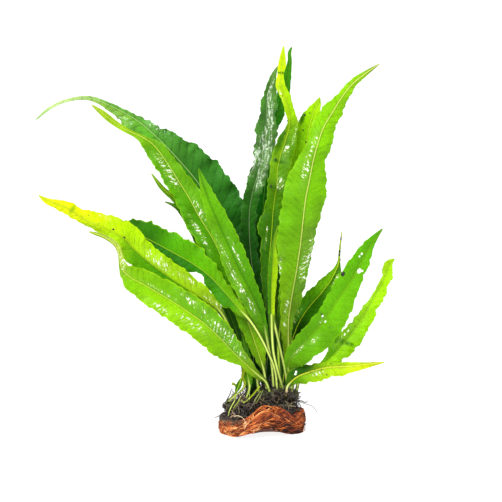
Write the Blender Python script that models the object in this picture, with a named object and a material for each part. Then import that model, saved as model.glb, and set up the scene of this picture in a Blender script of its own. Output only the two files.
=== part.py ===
"""A java fern rooted on a pad of coconut fibre, standing upright.

Millimetres are turned into metres by MM. +Z is up, +X is to the right and -Y is the side the plant is
seen from. The origin is the middle of the pad's flat underside, where the plant rests.

The fronds are drawn on one elevation that looks down by VIEW_TILT. A station of a frond's midrib gives
its place across and up that drawing, its depth behind it, and how far the blade shows to the left and
to the right of the midrib, as seen growing up from the root.
"""

import math
from dataclasses import dataclass

import bmesh
import bpy
import numpy as np

MM = 0.001
VIEW_TILT = math.radians(10.0)
TOUCH_GAP = 0.4  # between neighbours that touch, in mm

# Coir pad: sizes in mm, and places and widths on it as shares of its half length or half width
PAD_HALF_LENGTH = 24.0
PAD_HALF_WIDTH = 18.0
PAD_YAW = math.radians(30.0)
PAD_CENTRE = (0.0, -3.0)
PAD_CORNER_POWER = 3.0
PAD_THICKNESS = 11.5
PAD_SLOPE = 1.6
PAD_CROWN = 3.5
PAD_CROWN_PLACE = 0.05
PAD_CROWN_WIDTH = 0.4
PAD_DIP = 1.4
PAD_DIP_PLACE = 0.6
PAD_DIP_WIDTH = 0.25
PAD_CURL = 0.9
PAD_CURL_ALONG = (3.1, 1.0)  # turns of the wave per share, and where it starts
PAD_CURL_ACROSS = (2.3, 0.4)
PAD_ARCH_HEIGHT = 4.6
PAD_ARCH_PLACE = -0.16
PAD_ARCH_WIDTH = 0.4
PAD_ARCH_START = 0.38
PAD_ARCH_RUN = 0.5
PAD_RIM_LIFT = 1.2
PAD_RIM_SHARE = 0.97
PAD_BULGE = 1.2
PAD_CUTS = (15, 11)

# Root clump
CLUMP_SHARE = 0.9
CLUMP_CORNER_POWER = 2.5
CLUMP_DEPTH = 3.4
CLUMP_EDGE_DEPTH = 1.6
CLUMP_LEAST_DEPTH = 1.2
CLUMP_PRESSED_DEPTH = 0.8  # under a rhizome
CLUMP_LUMP = 1.1
CLUMP_LUMP_TURNS = (0.71, 0.83)
CLUMP_TUFT = 0.5
CLUMP_TUFT_TURNS = (1.9, -1.2)
CLUMP_BULGE = 0.6
CLUMP_CUTS = (19, 14)

# Rhizomes: the line of each creeping stem in mm, and its radius
RHIZOMES = {
    "rhizome_front": ([(-4.0, -9.0, 21.4), (5.0, -6.0, 23.2), (13.0, -2.5, 23.0), (21.0, 2.0, 21.0)], 3.7),
    "rhizome_left": ([(-22.5, -15.0, 17.2), (-16.0, -12.5, 18.2), (-8.5, -11.0, 19.6)], 2.7),
    "rhizome_back": ([(-10.0, 1.5, 21.0), (1.0, 6.0, 22.4), (12.0, 10.0, 21.6)], 3.4),
}
RHIZOME_SCAR = 0.07
RHIZOME_SCAR_TURNS = 23
RHIZOME_RINGS = 11
RHIZOME_SIDES = 10
RHIZOME_GROWTH = 1.12  # its widest radius over its usual one
RHIZOME_CLEARANCE = 2.6  # between its side and the roots beside it, in mm

# Blade section
STALK_RADIUS = 0.95
FOOT_LIFT = 0.25
TIP_RIB_HALF = 0.38
BLADE_HALF = 0.3
STALK_FLATNESS = 0.72
LEAST_HALF = 0.3
LEAST_COSINE = 0.42
SEGMENT_LENGTH = 9.5
STALK_WIDTH = 2.4
OPENING_WIDTH = 4.0  # how much wider than a stalk the blade is once it lies fully open
RUFFLE_HALF = 6.0  # half width from which the margin has its full waves
LEFT_WAVE_START = 2.1


@dataclass(frozen=True)
class Frond:
    """One frond: where its stalk leaves its rhizome, how its blade is turned, and its midrib."""

    rhizome: str
    base: tuple  # across and depth of the foot of the stalk, in mm
    path: tuple  # (across, up, depth, left, right) in mm, from above the foot to the tip
    roll: tuple = (0.0, 0.0)  # turn about the midrib from foot to tip, degrees, right side forwards
    fold: float = 12.0  # how far both halves rise towards the viewer, degrees
    ruffle: float = 1.0  # height of the waves in the margin, mm
    wave: float = 17.0  # length of one wave, mm
    green: tuple = (0.11, 0.36, 0.01)


DARK = (0.012, 0.10, 0.004)
LEAF = (0.10, 0.42, 0.008)
LIME = (0.42, 0.80, 0.01)
PALE = (0.20, 0.34, 0.16)

FRONDS = {
    "frond_back_long": Frond(
        "rhizome_back", (-4.5, 4.0),
        ((-5.0, 36.0, 9.5, 2.6, 2.4), (-5.8, 54.6, 15, 3.4, 3.0), (-10.0, 78.6, 23, 5, 4),
         (-16.8, 103.8, 30, 9, 14),
         (-25.8, 126.6, 34, 10, 18), (-36.0, 145.8, 37, 10, 17), (-49.2, 162.0, 38, 8.5, 13.8),
         (-62.4, 175.8, 37, 8, 7.3), (-75.6, 186.9, 34, 8, 2.8), (-89.4, 194.4, 30, 3.5, 1.7),
         (-103.2, 199.5, 26, 1.4, 1.4), (-117.0, 198.0, 21, 1.0, 1.0), (-127.2, 193.2, 17, 0.9, 0.9),
         (-135.0, 186.6, 14, 0.4, 0.4)),
        roll=(0, 18), fold=10, ruffle=1.5, green=DARK),
    "frond_left_upper": Frond(
        "rhizome_front", (2.6, -5.6),
        ((1.2, 36.0, -4, 1.2, 1.2), (-1.2, 44.4, -4, 3.5, 3.5), (-4.2, 53.4, -4, 4.5, 5.5),
         (-8.4, 65.4, -4, 5.5, 6), (-14.4, 81.0, -3, 6.5, 7), (-21.6, 97.8, -3, 8, 8),
         (-28.8, 114.0, -3, 9, 9), (-37.8, 129.0, -2, 9.5, 9), (-44.0, 140.4, -1, 8, 8),
         (-50.4, 150.6, 0, 7.8, 6.5), (-55.4, 158.6, 1, 7.4, 5.4), (-63.6, 170.0, 3, 7, 4.2),
         (-69.2, 174.6, 4, 4.6, 1.8), (-75.0, 177.6, 5, 2.2, 1.2), (-81.6, 180.6, 5, 1.8, 1.4),
         (-88.2, 184.8, 4, 2.0, 1.6), (-94.8, 189.9, 2, 1.8, 1.8), (-101.4, 195.0, 0, 0.4, 0.4)),
        roll=(10, -15), fold=14, ruffle=0.9, green=LEAF),
    "frond_front_left": Frond(
        "rhizome_front", (7.0, -3.6),
        ((5.6, 41.4, -6, 1.0, 1.0), (3.0, 54.6, -7, 1.6, 1.6), (0.6, 66.6, -9, 5, 2),
         (-3.0, 76.2, -12, 7, 4), (-7.2, 84.6, -15, 8, 5), (-13.8, 97.8, -18, 8.5, 7),
         (-19.8, 111.0, -20, 7, 7.5), (-25.2, 123.0, -21.5, 6, 7), (-30.6, 135.6, -22, 4.5, 5.5),
         (-34.8, 147.0, -21.5, 2.2, 3), (-37.8, 157.2, -20.5, 0.4, 0.4)),
        roll=(-10, 10), fold=20, ruffle=0.5, green=LEAF),
    "frond_left_middle": Frond(
        "rhizome_front", (9.0, -6.6),
        ((7.8, 36.6, -11, 0.9, 0.9), (3.6, 47.4, -13, 0.9, 0.9), (-1.8, 58.2, -14.5, 0.95, 0.95),
         (-7.8, 67.2, -14.5, 1.3, 1.3), (-14.4, 74.4, -13, 4, 3), (-21.6, 82.8, -11, 7, 4),
         (-33.0, 94.8, -8, 8.5, 7.5), (-45.0, 102.6, -6, 9, 11.2), (-60.0, 111.0, -3, 8, 10.2),
         (-71.4, 117.0, 0, 6, 9.4), (-81.0, 121.8, 4, 3.5, 5.2), (-87.0, 124.8, 6, 0.4, 0.4)),
        roll=(0, 15), fold=10, ruffle=1.1, green=DARK),
    "frond_left_long": Frond(
        "rhizome_front", (-2.0, -8.6),
        ((-4.8, 39.0, -13, 1.0, 1.0), (-14.4, 51.6, -16, 1.1, 1.1), (-24.0, 70.8, -19, 1.6, 1.8),
         (-33.6, 78.6, -21, 4, 6), (-43.2, 84.6, -22.5, 6, 8), (-51.6, 90.0, -24, 7.5, 9),
         (-59.4, 95.4, -25, 8, 9), (-67.2, 101.4, -26.5, 9, 9), (-76.2, 109.2, -28, 8, 9.4),
         (-82.2, 115.8, -28.5, 6.4, 9.8), (-95.4, 122.4, -29, 3.8, 8.0), (-104.0, 125.8, -29, 3.0, 6.6),
         (-109.2, 129.2, -28.5, 3.2, 4.6), (-114.0, 132.6, -28, 4.2, 4.2), (-121.2, 135.8, -27, 3.0, 2.8),
         (-127.8, 138.0, -26, 2.2, 1.5), (-132.6, 141.0, -25, 0.4, 0.4)),
        roll=(0, -12), fold=-14, ruffle=0.8, green=LIME),
    "frond_left_broad": Frond(
        "rhizome_front", (4.4, -8.8),
        ((2.2, 30.0, -11.5, 1.3, 1.3), (-1.4, 33.0, -14.5, 2.4, 1.6), (-6.4, 37.4, -18, 3.0, 2.2),
         (-12.6, 43.2, -22, 3.6, 3.8),
         (-19.2, 49.8, -26, 8.6, 5), (-25.2, 56.4, -30, 10.4, 6.5), (-34.2, 64.8, -34, 10.8, 9),
         (-43.2, 71.4, -37, 11, 10), (-52.2, 77.4, -39, 10.5, 10), (-61.2, 82.8, -41, 10, 9.5),
         (-70.2, 88.2, -43, 9, 8.5), (-78.0, 92.4, -44, 6.4, 7.5), (-83.2, 97.6, -44.5, 1.8, 4.5),
         (-84.4, 104.4, -44, 0.9, 2.2), (-86.6, 111.0, -43, 0.9, 2.2), (-93.0, 116.0, -41, 1.0, 1.6),
         (-98.4, 118.2, -39, 1.1, 1.0), (-102.6, 119.4, -38, 0.4, 0.4)),
        roll=(0, 10), fold=8, ruffle=0.8, green=LEAF),
    "frond_tall_pale": Frond(
        "rhizome_back", (0.8, 6.8),
        ((2.2, 34.0, 8.6, 2.4, 2.6), (3.2, 48.6, 11, 2.6, 2.8), (-0.4, 69.6, 12.5, 3.5, 4),
         (-4.8, 90.6, 15, 6.5, 5),
         (-7.2, 109.8, 18, 7, 4.5), (-7.8, 129.0, 20, 4.8, 4.2), (-6.0, 142.2, 21, 4.8, 5),
         (-3.0, 153.0, 21.5, 4.8, 6), (0.0, 163.8, 22, 4.8, 6), (1.8, 174.6, 22, 6.2, 7),
         (2.4, 186.6, 21, 5.0, 6), (3.0, 198.6, 19, 3.0, 6), (4.8, 207.6, 16.5, 2, 4),
         (7.2, 214.2, 14, 1.2, 1.6), (9.6, 218.4, 12.5, 0.4, 0.4)),
        roll=(-10, -24), fold=10, ruffle=1.0, green=PALE),
    "frond_tall_back": Frond(
        "rhizome_back", (5.0, 8.4),
        ((5.2, 36.0, 15.5, 1.6, 1.8), (4.8, 48.6, 22, 2.2, 2.2), (1.8, 72.6, 28, 4, 4), (0.0, 96.6, 33, 6, 6),
         (0.0, 117.6, 37, 6.5, 6.5), (0.8, 135.6, 40, 6.5, 5), (2.2, 150.6, 41, 6, 4.6),
         (4.2, 165.6, 40, 5.5, 3.6), (6.0, 179.4, 38, 4.5, 2.6), (10.0, 191.4, 35, 4.5, 3.8),
         (13.8, 203.4, 31, 4, 3), (15.6, 214.2, 28, 2.6, 2), (16.5, 222.6, 25, 1, 1.4),
         (16.2, 226.2, 24, 1.2, 1.2), (17.7, 229.8, 23, 0.5, 0.5)),
        roll=(0, 12), fold=10, ruffle=0.9, green=DARK),
    "frond_centre_twisted": Frond(
        "rhizome_front", (15.2, -3.2),
        ((14.1, 34.8, -8, 0.95, 0.95), (11.2, 48.0, -9, 0.95, 0.95), (8.2, 61.2, -8, 1.1, 1.1),
         (5.4, 73.8, -4, 3, 2.4), (3.6, 87.6, -0.5, 3.6, 3), (4.5, 105.0, 2, 5.5, 4),
         (5.4, 114.6, 3, 6, 5), (6.0, 123.0, 3.5, 9, 6), (6.6, 132.0, 4, 5.5, 6.5),
         (7.8, 141.0, 3, 5, 7), (9.0, 148.2, 0, 5.5, 7), (9.0, 155.4, 3, 4.5, 6.5),
         (10.8, 164.4, 5, 5, 7.5), (13.2, 171.6, 6, 4.8, 7), (15.3, 178.2, 6, 3.5, 5.5),
         (16.6, 184.8, 5.5, 1.2, 5), (15.9, 191.4, 5, 2.3, 3.5), (13.5, 199.8, 4.5, 2.2, 3.5),
         (11.1, 206.4, 4, 3.2, 3.0), (11.4, 213.0, 4, 2.2, 1.4), (11.7, 218.4, 4, 2.4, 2.8),
         (12.3, 224.4, 4, 1.6, 1.6), (12.8, 230.0, 5, 0.4, 0.4)),
        roll=(0, 0), fold=10, ruffle=0.8, green=(0.09, 0.28, 0.004)),
    "frond_right_behind": Frond(
        "rhizome_front", (11.2, -0.8),
        ((10.2, 39.0, -2.5, 1.0, 1.0), (9.8, 51.6, -1, 1.4, 1.4), (11.4, 66.6, 2, 2.5, 2.5),
         (15.0, 81.6, 5, 5, 4), (20.4, 108.6, 11, 7, 6), (22.8, 135.6, 14, 9, 7),
         (24.6, 156.6, 15, 10, 7), (26.4, 171.6, 15, 9, 6.5), (28.2, 181.8, 14, 8, 6),
         (30.6, 190.2, 13, 5, 4.6), (32.7, 195.6, 12, 2.2, 2.8), (34.5, 199.8, 12, 0.4, 0.4)),
        roll=(0, 8), fold=10, ruffle=0.8, green=LEAF),
    "frond_tall_right": Frond(
        "rhizome_front", (18.6, 0.4),
        ((17.4, 35.4, -1, 1.0, 1.0), (15.9, 48.6, -2, 3.2, 1.8), (15.8, 65.4, -3.5, 4.8, 2.8),
         (17.4, 78.6, -5, 6.5, 6), (20.4, 95.4, -7.5, 10.5, 7), (22.8, 111.6, -10, 14.5, 7.8),
         (24.3, 125.4, -12, 14, 9.4), (25.8, 138.6, -13.5, 13.5, 11.8), (28.2, 150.6, -14.5, 13, 10.4),
         (30.3, 161.4, -15, 9, 7.2), (33.0, 171.6, -15, 6, 8.5), (36.6, 181.8, -15, 6.2, 7),
         (42.0, 190.8, -15, 6.2, 5.5), (48.0, 200.4, -16, 3, 4), (54.0, 207.6, -17, 2.6, 2.4),
         (61.2, 213.3, -18, 1.6, 1.6), (69.6, 219.0, -19, 0.35, 0.35)),
        roll=(0, -14), fold=-10, ruffle=1.0, green=LEAF),
    "frond_right_dark": Frond(
        "rhizome_back", (11.5, 9.6),
        ((13.2, 34.0, 13.5, 2.8, 2.8), (15.6, 45.6, 18, 3.2, 3.0), (20.4, 60.6, 21, 4, 4),
         (24.6, 69.0, 23, 6, 6.5),
         (30.0, 76.2, 25, 7, 7.5), (35.4, 82.2, 26, 6.5, 7.5), (40.8, 89.4, 27, 5, 6),
         (44.4, 96.0, 27, 2.4, 3.5), (46.2, 101.4, 27, 0.9, 0.9), (46.8, 109.8, 27, 0.6, 0.6),
         (48.0, 119.4, 27, 0.35, 0.35)),
        roll=(0, 15), fold=12, ruffle=0.8, green=DARK),
    "frond_right_broad": Frond(
        "rhizome_front", (17.8, -3.2),
        ((16.8, 31.8, -9, 1.1, 1.1), (15.5, 38.4, -13.5, 1.8, 2.6), (17.4, 44.4, -17.5, 4.2, 7.8),
         (23.4, 51.0, -21, 6.2, 9.6), (31.2, 60.0, -25, 6.2, 12.6), (39.0, 70.2, -29, 5.8, 12.2),
         (46.5, 81.6, -32, 6.8, 9.8), (52.8, 90.6, -34, 7.6, 6.4), (60.0, 103.8, -35, 6.0, 4.6),
         (65.4, 112.8, -35, 3.8, 1.8), (71.4, 121.2, -34, 0.4, 0.4)),
        roll=(0, -10), fold=12, ruffle=0.4, green=LEAF),
    "frond_right_outer": Frond(
        "rhizome_front", (20.4, 3.4),
        ((22.0, 30.0, 5, 1.1, 1.1), (26.4, 34.2, 7, 1.2, 1.2), (32.4, 37.2, 9, 1.5, 2),
         (38.4, 41.4, 11, 2.2, 4.5), (43.2, 45.6, 13, 4.8, 5.8), (48.0, 51.0, 15, 5.4, 7.6),
         (53.1, 57.0, 17, 4.2, 7.4), (57.6, 63.6, 20, 4.2, 7.0), (61.4, 68.8, 22, 4.0, 5.8),
         (66.6, 78.6, 26, 2.2, 5.4), (70.8, 85.8, 28, 1.8, 4.8), (73.8, 91.8, 30, 2.2, 4.2),
         (75.9, 97.8, 31, 3.2, 3), (77.4, 101.1, 31, 2.8, 1.4), (79.8, 103.2, 31, 0.35, 0.35)),
        roll=(0, 20), fold=10, ruffle=1.0, green=(0.22, 0.66, 0.008)),
    "frond_right_low": Frond(
        "rhizome_front", (14.4, -6.3),
        ((15.0, 26.6, -10, 1.0, 1.0), (17.4, 29.8, -12, 1.1, 1.1), (20.4, 32.4, -13.5, 2.6, 2.2),
         (23.4, 34.0, -15, 4.6, 5.2), (28.2, 35.7, -16.5, 4.4, 6.5), (34.2, 37.5, -18, 3.8, 7.0),
         (40.8, 38.7, -19.5, 3.4, 6.0), (48.0, 39.0, -21, 2.7, 5.2), (55.2, 39.6, -22, 2.2, 3.7),
         (63.0, 40.5, -23, 1.2, 2.2), (73.0, 41.7, -23.5, 0.35, 0.35)),
        roll=(0, 10), fold=8, ruffle=0.5, green=LIME),
    "frond_front_narrow": Frond(
        "rhizome_front", (12.4, -4.2),
        ((9.4, 36.6, -15, 1.0, 1.0), (6.9, 46.8, -19, 1.05, 1.05), (6.0, 57.0, -21.5, 1.2, 1.2),
         (5.8, 65.4, -23, 1.9, 1.7), (5.7, 78.6, -25, 2.2, 2.0), (6.0, 90.6, -26.5, 2.6, 2.8),
         (6.6, 101.4, -27.5, 2.6, 2.8), (6.9, 108.6, -28, 1.6, 1.8), (7.2, 114.6, -28, 0.9, 0.9),
         (9.3, 123.0, -27.5, 0.35, 0.35)),
        roll=(40, 55), fold=12, ruffle=0.5, green=LIME),
    "frond_left_thin_upper": Frond(
        "rhizome_back", (-6.4, 3.4),
        ((-9.6, 46.0, 7.4, 1.8, 2.0), (-13.2, 60.6, 10, 2.6, 2.8), (-24.0, 92.0, 13, 3.5, 3.5),
         (-36.6, 116.4, 13, 3.4, 5),
         (-43.8, 128.4, 13, 2.8, 5), (-51.0, 138.6, 12, 2.6, 3.5), (-56.4, 142.8, 11, 1.8, 1.4),
         (-60.6, 147.0, 10, 1.6, 1.2), (-66.0, 154.2, 9, 0.4, 0.4)),
        roll=(0, 10), fold=10, ruffle=0.6, green=LEAF),
    "frond_left_thin_lower": Frond(
        "rhizome_back", (-8.6, 1.8),
        ((-11.4, 42.0, 3.0, 2.0, 2.0), (-14.6, 57.6, 4.5, 2.6, 2.4), (-28.0, 92.0, 6, 3, 3),
         (-40.2, 118.2, 6, 2.4, 4),
         (-48.0, 131.4, 6, 1.9, 2.5), (-52.8, 135.3, 5.5, 1.1, 1.1), (-57.9, 137.4, 5, 0.4, 0.4)),
        roll=(0, 10), fold=10, ruffle=0.4, green=DARK),
    "frond_rear_left": Frond(
        "rhizome_back", (-1.8, 6.8),
        ((-4.0, 48.0, 26, 1.2, 1.2), (-9.0, 68.0, 44, 5, 5), (-14.0, 84.0, 60, 8, 8),
         (-19.0, 96.0, 74, 6.5, 6.5), (-23.0, 103.0, 86, 3, 3), (-26.0, 105.0, 94, 0.4, 0.4)),
        roll=(0, -20), fold=14, ruffle=1.0, green=LEAF),
    "frond_rear_centre": Frond(
        "rhizome_back", (8.6, 10.2),
        ((9.8, 38.0, 18.5, 2.2, 2.8), (9.8, 56.0, 29, 2.8, 3.6), (9.0, 84.0, 42, 6, 6),
         (10.0, 110.0, 53, 9, 9),
         (13.0, 132.0, 63, 8, 8), (17.0, 149.0, 70, 4.5, 4.5), (21.0, 161.0, 74, 0.4, 0.4)),
        roll=(0, 20), fold=12, ruffle=1.0, green=DARK),
    "frond_rear_right": Frond(
        "rhizome_back", (14.2, 11.6),
        ((18.0, 42.0, 28, 1.2, 1.2), (25.0, 56.0, 44, 5.5, 5.5), (33.0, 69.0, 58, 8, 8),
         (40.0, 78.0, 70, 6, 6), (45.0, 83.0, 79, 3, 3), (49.0, 85.0, 86, 0.4, 0.4)),
        roll=(0, 16), fold=12, ruffle=0.9, green=LEAF),
    "frond_small_bent": Frond(
        "rhizome_left", (-19.8, -13.6),
        ((-17.6, 20.4, -15, 0.9, 0.9), (-14.1, 23.2, -15.5, 0.9, 0.9), (-11.4, 25.6, -15.5, 1.0, 1.0),
         (-10.2, 29.1, -15, 1.0, 1.0), (-11.7, 32.4, -14.5, 1.0, 1.0), (-10.9, 36.6, -14, 1.2, 1.2),
         (-9.4, 42.0, -13, 0.4, 0.4)),
        fold=0, ruffle=0.0, green=LIME),
    "frond_small_dark": Frond(
        "rhizome_left", (-21.6, -15.4),
        ((-19.2, 20.0, -17, 0.8, 0.8), (-16.2, 22.8, -18, 1.0, 1.0), (-14.4, 26.4, -18.5, 1.8, 1.6),
         (-13.2, 29.4, -18.5, 1.5, 1.5), (-12.3, 32.4, -18, 0.4, 0.4)),
        fold=10, ruffle=0.2, green=DARK),
    "frond_small_bright": Frond(
        "rhizome_left", (-9.4, -10.6),
        ((-7.5, 25.8, -12, 1.1, 1.1), (-8.1, 30.6, -12, 2.5, 2.5), (-9.0, 35.4, -11.5, 2.6, 2.4),
         (-9.8, 40.2, -11, 1.5, 1.5), (-10.6, 45.0, -10, 0.4, 0.4)),
        fold=12, ruffle=0.3, green=LEAF),
    "frond_small_shaded": Frond(
        "rhizome_back", (-8.6, -1.2),
        ((-6.6, 27.0, -3.5, 2.4, 2.4), (-7.4, 33.0, -4.5, 4, 4), (-9.0, 41.0, -4.5, 3.6, 3.4),
         (-10.4, 50.0, -2.5, 2.4, 2.0), (-11.4, 57.5, -1, 0.4, 0.4)),
        fold=10, ruffle=0.3, green=DARK),
    "stalk_cut_left": Frond(
        "rhizome_left", (-12.4, -12.8),
        ((-10.6, 20.8, -15.5, 0.9, 0.9), (-6.0, 23.6, -17, 0.9, 0.9), (-1.2, 27.4, -17.5, 0.85, 0.85)),
        fold=0, ruffle=0.0, green=LIME),
    "bud_left": Frond(
        "rhizome_left", (-16.2, -12.5),
        ((-15.4, 25.2, -13, 0.9, 0.9), (-15.8, 27.9, -14, 1.0, 1.0), (-17.7, 29.1, -15, 1.0, 1.0)),
        fold=0, ruffle=0.0, green=LEAF),
}


def material(name, colour, roughness):
    """A plain Principled material."""
    made = bpy.data.materials.new(name)
    made.use_nodes = True
    shader = made.node_tree.nodes["Principled BSDF"]
    shader.inputs["Base Color"].default_value = (*colour, 1.0)
    shader.inputs["Roughness"].default_value = roughness
    shader.inputs["Metallic"].default_value = 0.0
    return made


def add_object(name, bm, finish):
    """Turns a bmesh in mm into a named object in metres."""
    bmesh.ops.triangulate(bm, faces=bm.faces[:])
    bmesh.ops.recalc_face_normals(bm, faces=bm.faces[:])
    bmesh.ops.scale(bm, vec=(MM, MM, MM), verts=bm.verts[:])
    mesh = bpy.data.meshes.new(name)
    bm.to_mesh(mesh)
    bm.free()
    mesh.shade_smooth()
    mesh.set_sharp_from_angle(angle=math.radians(60))
    mesh.materials.append(finish)
    made = bpy.data.objects.new(name, mesh)
    bpy.context.scene.collection.objects.link(made)
    return made


def skin(rings):
    """A closed body through rings of points with the same count, capped at both ends."""
    bm = bmesh.new()
    loops = [[bm.verts.new(point) for point in ring] for ring in rings]
    for lower, upper in zip(loops, loops[1:]):
        for here in range(len(lower)):
            after = (here + 1) % len(lower)
            bm.faces.new((lower[here], lower[after], upper[after], upper[here]))
    bm.faces.new(reversed(loops[0]))
    bm.faces.new(loops[-1])
    return bm


def curve_through(points, count):
    """Points at even steps along a smooth curve through the given rows of numbers.

    The first three numbers of a row are a place, and the rest are carried along with it.
    """
    rows = np.array(points, dtype=float)
    padded = np.vstack([2 * rows[0] - rows[1], rows, 2 * rows[-1] - rows[-2]])
    fine = []
    for span in range(len(rows) - 1):
        before, start, end, after = padded[span : span + 4]
        for t in np.linspace(0.0, 1.0, 16, endpoint=False):
            fine.append(0.5 * (2 * start + (end - before) * t
                               + (2 * before - 5 * start + 4 * end - after) * t ** 2
                               + (3 * start - before - 3 * end + after) * t ** 3))
    fine.append(rows[-1])
    fine = np.array(fine)
    run = np.concatenate([[0.0], np.cumsum(np.linalg.norm(np.diff(fine[:, :3], axis=0), axis=1))])
    steps = np.linspace(0.0, run[-1], count)
    return np.stack([np.interp(steps, run, column) for column in fine.T], axis=1), run[-1]


def unit(vectors):
    """Rows of vectors at length one."""
    return vectors / np.linalg.norm(vectors, axis=-1, keepdims=True)


def pad_shares(x, y):
    """How far along and across the pad a place in mm is, from -1 to 1."""
    dx = x - PAD_CENTRE[0]
    dy = y - PAD_CENTRE[1]
    along = (dx * math.cos(PAD_YAW) + dy * math.sin(PAD_YAW)) / PAD_HALF_LENGTH
    across = (-dx * math.sin(PAD_YAW) + dy * math.cos(PAD_YAW)) / PAD_HALF_WIDTH
    return along, across


def rounded_reach(along, across, power):
    """How far out a place is on a plan with rounded corners, 1 on its edge."""
    return (abs(along) ** power + abs(across) ** power) ** (1 / power)


def pad_place(along, across, share=1.0):
    """Where a point of the square from -1 to 1 lies on the pad's rounded plan, in mm."""
    reach = rounded_reach(along, across, PAD_CORNER_POWER)
    squeeze = share * max(abs(along), abs(across)) / max(reach, 1e-6)
    a = along * squeeze * PAD_HALF_LENGTH
    b = across * squeeze * PAD_HALF_WIDTH
    return (PAD_CENTRE[0] + a * math.cos(PAD_YAW) - b * math.sin(PAD_YAW),
            PAD_CENTRE[1] + a * math.sin(PAD_YAW) + b * math.cos(PAD_YAW))


def pad_arch(x, y):
    """Height of the pad's underside above the surface it stands on: an arch in the middle of its front."""
    along, across = pad_shares(x, y)
    middle = math.exp(-((along - PAD_ARCH_PLACE) / PAD_ARCH_WIDTH) ** 2)
    front = min(max((-across - PAD_ARCH_START) / PAD_ARCH_RUN, 0.0), 1.0)
    return PAD_ARCH_HEIGHT * middle * front


def pad_top(x, y):
    """Height of the pad's upper face, which follows the bend of the mat."""
    along, across = pad_shares(x, y)
    crown = PAD_CROWN * math.exp(-((along - PAD_CROWN_PLACE) / PAD_CROWN_WIDTH) ** 2)
    dip = PAD_DIP * math.exp(-((along - PAD_DIP_PLACE) / PAD_DIP_WIDTH) ** 2) * max(-across, 0.0)
    curl = math.sin(PAD_CURL_ALONG[0] * along + PAD_CURL_ALONG[1])
    curl *= PAD_CURL * math.sin(PAD_CURL_ACROSS[0] * across + PAD_CURL_ACROSS[1])
    return PAD_THICKNESS + PAD_SLOPE * along + crown - dip + curl


def slab(name, share, low, high, finish, cuts, bulge):
    """A closed mat on the pad's rounded plan between two height functions."""
    bm = bmesh.new()
    columns, rows = cuts
    layers = []
    for height in (low, high):
        layer = {}
        for i in range(columns):
            for j in range(rows):
                along = 2 * i / (columns - 1) - 1
                across = 2 * j / (rows - 1) - 1
                x, y = pad_place(along, across, share)
                layer[i, j] = bm.verts.new((x, y, height(x, y)))
        layers.append(layer)
    bottom, top = layers
    for i in range(columns - 1):
        for j in range(rows - 1):
            corners = ((i, j), (i + 1, j), (i + 1, j + 1), (i, j + 1))
            bm.faces.new([bottom[c] for c in reversed(corners)])
            bm.faces.new([top[c] for c in corners])
    border = [(i, 0) for i in range(columns)]
    border += [(columns - 1, j) for j in range(1, rows)]
    border += [(i, rows - 1) for i in range(columns - 2, -1, -1)]
    border += [(0, j) for j in range(rows - 2, 0, -1)]
    middle = []
    for step, key in enumerate(border):
        lower = bottom[key].co
        upper = top[key].co
        spot = (lower + upper) / 2
        out = spot.copy()
        out.x -= PAD_CENTRE[0]
        out.y -= PAD_CENTRE[1]
        out.z = 0.0
        out.normalize()
        swell = bulge * (1.0 + 0.5 * math.sin(2.4 * step) + 0.3 * math.sin(5.1 * step))
        middle.append(bm.verts.new(spot + out * swell))
    for here in range(len(border)):
        after = (here + 1) % len(border)
        near, far = border[here], border[after]
        bm.faces.new((bottom[near], bottom[far], middle[after], middle[here]))
        bm.faces.new((middle[here], middle[after], top[far], top[near]))
    return add_object(name, bm, finish)


def pad_underside(x, y):
    """The underside with its rim drawn up a little, flat where the pad rests."""
    reach = rounded_reach(*pad_shares(x, y), PAD_CORNER_POWER)
    rim = PAD_RIM_LIFT if reach > PAD_RIM_SHARE else 0.0
    return max(pad_arch(x, y), rim)


def rhizome_gap(x, y):
    """Lowest height in mm that a rhizome reaches over a place, or None where none passes."""
    lowest = None
    for line, radius in RHIZOMES.values():
        for start, end in zip(line, line[1:]):
            a = np.array(start)
            b = np.array(end)
            flat = (b - a)[:2]
            t = np.clip(np.dot(np.array((x, y)) - a[:2], flat) / np.dot(flat, flat), 0.0, 1.0)
            spot = a + (b - a) * t
            if math.hypot(x - spot[0], y - spot[1]) < radius + RHIZOME_CLEARANCE:
                under = spot[2] - radius * RHIZOME_GROWTH
                lowest = under if lowest is None else min(lowest, under)
    return lowest


def clump_floor(x, y):
    """Underside of the roots, just clear of the pad."""
    return pad_top(x, y) + TOUCH_GAP


def clump_top(x, y):
    """Upper face of the roots: a lumpy mound that stays clear of the rhizomes."""
    reach = min(rounded_reach(*pad_shares(x, y), CLUMP_CORNER_POWER) / CLUMP_SHARE, 1.0)
    mound = CLUMP_DEPTH * (1.0 - reach ** 4) + CLUMP_EDGE_DEPTH
    lumps = CLUMP_LUMP * math.sin(CLUMP_LUMP_TURNS[0] * x + 1.3) * math.sin(CLUMP_LUMP_TURNS[1] * y)
    tufts = CLUMP_TUFT * math.sin(CLUMP_TUFT_TURNS[0] * x + CLUMP_TUFT_TURNS[1] * y)
    height = clump_floor(x, y) + max(mound + lumps + tufts, CLUMP_LEAST_DEPTH)
    limit = rhizome_gap(x, y)
    if limit is not None:
        height = min(height, limit - TOUCH_GAP)
    return max(height, clump_floor(x, y) + CLUMP_PRESSED_DEPTH)


def rhizome_radius(name, share):
    """Radius of a rhizome along its length, with scars and rounded ends."""
    radius = RHIZOMES[name][1]
    ends = math.sqrt(max(1.0 - (2 * share - 1) ** 8, 0.02))
    return radius * ends * (1.0 + RHIZOME_SCAR * math.sin(RHIZOME_SCAR_TURNS * share + radius))


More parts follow.
